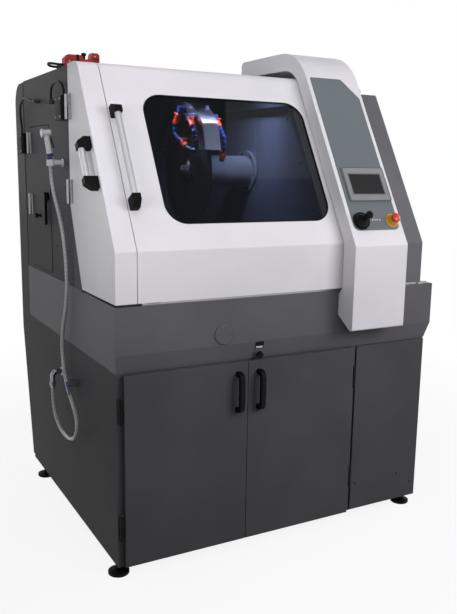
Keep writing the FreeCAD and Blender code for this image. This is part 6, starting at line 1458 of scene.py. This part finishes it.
@dataclass
class ChamberTrim(SubAssembly):
    """Coolant taps, supply pipe, the guard's plate and catch, and the right wall's rail, skin and screws."""

    wheel: Point = (-134.0, 690.0, 1563.0)
    guard_left: float = -173.0
    guard_right: float = -95.0
    guard_radius: float = 311.0
    nose_tip: Pair = (458.9, 1771.1)
    nose_foot: Pair = (428.9, 1656.1)
    nose_plate_thick: float = 1.8
    nose_screw_inset: Pair = (11.0, 13.0)
    nose_screw_radius: float = 4.0
    cheek_bolt_degrees: tuple[float, ...] = (28, 62, 84, 112, 134)
    cheek_bolt_inset: float = 12.0
    cheek_bolt_radius: float = 6.0
    catch_degrees: float = 118.0
    catch_inset: float = 12.0
    catch_plate: Pair = (16.0, 18.0)
    catch_thick: float = 5.0
    catch_profile: Pairs = ((3.0, 4.5), (3.0, 10), (6.5, 11), (6.5, 13.5), (5.5, 14.5), (0, 14.8))
    ring_x: float = 175.0
    ring_circle: float = 87.0
    ring_screw_radius: float = 6.5
    ring_screw_count: int = 6
    ring_first_degrees: float = 10.0
    flange_x: float = 170.0
    flange_out: float = -45.0
    flange_screw_radius: float = 5.5
    flange_along: tuple[float, ...] = (616.0, 398.0, 169.0)
    rail_x: float = 182.0
    rail_front: float = 300.0
    rail_rear: float = 1050.0
    rail_low: float = 1821.0
    rail_high: float = 1851.0
    rail_thick: float = 12.0
    rail_foot_span: Pair = (-1.0, 7.98)
    shutter_x: float = 184.0
    shutter_width: float = 172.0
    shutter_thick: float = 0.3
    shutter_spans: Pairs = ((1292.0, 1470.0), (1656.0, 1834.0))
    tap_radius: float = 15.0
    tap_bar: Pair = (32.0, 13.0)
    tap_bar_span: Pair = (5.0, 12.0)
    taps: tuple[tuple[Point, Point], ...] = (
        ((-196.6, 532.5, 1792.3), (-203.5, 487.0, 1752.5)),
        ((-197.5, 647.5, 1819.4), (-202.4, 676.0, 1774.6)),
        ((-199.5, 600.0, 1691.6), (-199.5, 566.0, 1670.5)),
        ((-70.9, 530.0, 1787.6), (-65.5, 499.0, 1753.9)),
        ((-67.2, 460.5, 1639.8), (-71.0, 466.1, 1619.6)),
    )
    pipe: Points = ((-179.4, 742, 1822), (-179.4, 670, 1816), (-179.4, 560, 1806))
    pipe_radius: float = 4.4
    pipe_block: float = 9.0
    nut_half: float = 6.0
    nut_profile: Pairs = ((4.3, 0), (6.2, 0.5), (6.2, 11.5), (4.3, 12))
    # Places along the pipe, and how many sides each has: end nuts have six, clamps are round.
    nut_places: tuple[tuple[float, int], ...] = ((0.04, 6), (0.36, 24), (0.66, 24), (0.96, 6))

    def build(self) -> None:
        """Builds what the window shows inside the chamber."""
        self.build_taps()
        self.build_pipe()
        self.build_guard()
        self.build_wall()

    def build_taps(self) -> None:
        """Orange tap sleeves on the segmented hoses, each with its cross handle."""
        taps = MeshMaker("coolant_taps")
        r = self.tap_radius
        for start, end in self.taps:
            way = at(*end) - at(*start)
            length = way.length / MM
            outside = [(r - 2.0, 0), (r, 1.5), (r, length * 0.35), (r - 1.2, length * 0.42),
                       (r - 1.2, length * 0.58), (r, length * 0.65), (r, length - 1.5), (r - 2.0, length)]
            bore = [(r - 2.6, length - 1), (r - 2.6, 1), (r - 2.0, 0)]
            taps.lathe(outside + bore, standing(at(*start), way, TO_LEFT), 24)
            handle = standing((at(*start) + at(*end)) / 2, UP, TO_FRONT)
            taps.lathe([(4.5, r - 3), (4.5, r + 4), (6.0, r + 4.5), (6.0, r + 5.5)], handle, 16)
            low, high = self.tap_bar_span
            taps.slab(box_outline(*self.tap_bar, 5.0), r + low, r + high, handle, 2.0)
        taps.finish(ORANGE_ACETAL, Body.CUTTING_HEAD)

    def build_pipe(self) -> None:
        """Bright supply pipe along the guard's left cheek, with end nuts and two clamps."""
        pipe = MeshMaker("supply_pipe")
        path = [at(*point) for point in self.pipe]
        pipe.sweep(path, round_section(self.pipe_radius), TO_RIGHT)
        way = path[0] - path[-1]
        reach = self.guard_left - self.pipe[0][0]
        for share, sides in self.nut_places:
            place = path[0] - way * share
            where = standing(place - way.normalized() * self.nut_half * MM, way, TO_LEFT)
            pipe.lathe(self.nut_profile, where, sides)
            block = box_outline(self.pipe_block, self.pipe_block, 2.0)
            pipe.slab(block, 4.0, reach - LIFT, standing(place, TO_RIGHT))
        pipe.finish(ZINC_STEEL, Body.CUTTING_HEAD)

    def build_guard(self) -> None:
        """Lapped plate on the guard's nose with its screws, bolts on the cheek and a spring catch."""
        tip = Vector((0, *self.nose_tip))
        foot = Vector((0, *self.nose_foot))
        upward = (tip - foot).normalized()
        out = upward.cross(TO_LEFT)
        middle = (tip + foot) / 2
        middle.x = self.wheel[0]
        where = standing(at(*middle), out, upward)
        width = self.guard_right - self.guard_left
        height = (tip - foot).length
        plate = MeshMaker("guard_nose_plate")
        high = self.nose_plate_thick
        plate.slab(box_outline(width - 6, height - 8, 4.0), PLATE_LIFT, high, where, 0.6)
        across, along = width / 2 - self.nose_screw_inset[0], height / 2 - self.nose_screw_inset[1]
        corners = [where @ Vector((x * across, y * along, high)) for x in (-1, 1) for y in (-1, 1)]
        add_screws(plate, corners, out, self.nose_screw_radius)
        hub = Vector((self.guard_left, self.wheel[1], self.wheel[2]))
        reach = self.guard_radius - self.cheek_bolt_inset
        bolts = [at(*(hub + self.spoke(degrees) * reach)) for degrees in self.cheek_bolt_degrees]
        add_screws(plate, bolts, TO_LEFT, self.cheek_bolt_radius, 20)
        hub.x = self.guard_right - self.catch_inset
        spoke = self.spoke(self.catch_degrees)
        catch = standing(at(*(hub + spoke * self.guard_radius)), spoke, TO_RIGHT)
        plate.slab(box_outline(*self.catch_plate, 3.0), LIFT, self.catch_thick, catch, 1.0)
        plate.lathe(self.catch_profile, catch, 20)
        plate.finish(GUARD_SHEET, Body.CUTTING_HEAD)

    @staticmethod
    def spoke(degrees: float) -> Vector:
        """Direction out from the wheel's axis, as an angle from the rear towards the top."""
        return Vector((0, math.cos(math.radians(degrees)), math.sin(math.radians(degrees))))

    def build_wall(self) -> None:
        """Rail and shutter skin on the right wall, and screws of the window's flange and the quill's ring."""
        rail = MeshMaker("chamber_wall_rail")
        middle_y = (self.rail_front + self.rail_rear) / 2
        middle_z = (self.rail_low + self.rail_high) / 2
        height = self.rail_high - self.rail_low
        where = standing(at(self.rail_x, middle_y, middle_z), TO_LEFT)
        rail.slab(box_outline(self.rail_rear - self.rail_front, height, 3.0), 0, self.rail_thick, where, 1.5)
        for y in (self.rail_front + height / 2, self.rail_rear - height / 2):
            foot = standing(at(self.rail_x, y, middle_z), TO_RIGHT)
            rail.slab(box_outline(height - 4, height - 4, 3.0), *self.rail_foot_span, foot)
        rail.finish(BLACK_STEEL)
        skin = MeshMaker("shutter_skin")
        for low, high in self.shutter_spans:
            face = standing(at(self.shutter_x, self.wheel[1], (low + high) / 2), TO_LEFT)
            skin.slab(box_outline(self.shutter_width, high - low, 1.0), PLATE_LIFT, self.shutter_thick, face)
        skin.finish(CHAMBER_COAT, Body.CUTTING_HEAD)
        places = [on_slope(self.flange_x, along, self.flange_out) for along in self.flange_along]
        screw_set("flange_screws", places, SLOPE_OUT, self.flange_screw_radius, BLACK_STEEL)
        hub = Vector((self.ring_x, self.wheel[1], self.wheel[2]))
        step = 360 / self.ring_screw_count
        spokes = [self.spoke(step * i + self.ring_first_degrees) for i in range(self.ring_screw_count)]
        places = [at(*(hub + spoke * self.ring_circle)) for spoke in spokes]
        screw_set("quill_screws", places, TO_LEFT, self.ring_screw_radius, BLACK_STEEL, Body.CUTTING_HEAD)


@dataclass
class WaterTrim(SubAssembly):
    """Blue nut and spray rim of the hand shower."""

    grip_foot: Point = (-800.0, 620.0, 1603.3)
    grip_top: Point = (-817.5, 620.0, 1713.9)
    head_way: Point = (-1.0, 0.0, -0.16)
    head_half: float = 20.0
    head_radius: float = 15.5
    nut_profile: Pairs = ((10.2, 0.3), (14.2, 0.8), (14.8, 3), (14.8, 20), (14.0, 23), (13.2, 25),
                          (12.0, 25.5))

    def build(self) -> None:
        """Builds the shower's trim."""
        foot = at(*self.grip_foot)
        top = at(*self.grip_top)
        nut = MeshMaker("shower_nut")
        nut.lathe(self.nut_profile, standing(foot, top - foot, TO_LEFT), 12)
        nut.finish(HOSE_BEAD_BLUE)
        way = Vector(self.head_way).normalized()
        rim = MeshMaker("spray_rim")
        end = standing(top + way * self.head_half * MM, way)
        r = self.head_radius
        rim.lathe([(r - 1.0, -9), (r + 0.7, -8), (r + 0.9, -3), (r - 0.6, -1.2), (r - 1.4, -1.4)], end, 40)
        rim.finish(WHITE_ABS)


def dress_solids() -> None:
    """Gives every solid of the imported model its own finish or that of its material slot."""
    slots = {part["node"]: part["material_slot"] for part in frame["record"]["subparts"]}
    for name, solid in frame["nodes"].items():
        finish = NODE_FINISH.get(name, SLOT_FINISH[slots[name]])
        solid.data.materials.clear()
        solid.data.materials.append(finish.material())
    LOG.info("%d solids dressed", len(frame["nodes"]))


def main() -> None:
    """Builds the studio and every sub-assembly in order."""
    logging.basicConfig(level=logging.INFO, format="%(name)s: %(message)s")
    dress_solids()
    assemblies: list[SubAssembly] = [Studio(), Cords(), HoodTrim(), ConsoleTrim(), CabinetTrim(), WallTrim(),
                                     RoofTrim(), ChamberTrim(), WaterTrim()]
    for assembly in assemblies:
        assembly.build()
        LOG.info("%s done", type(assembly).__name__)


if __name__ == "__main__":
    main()
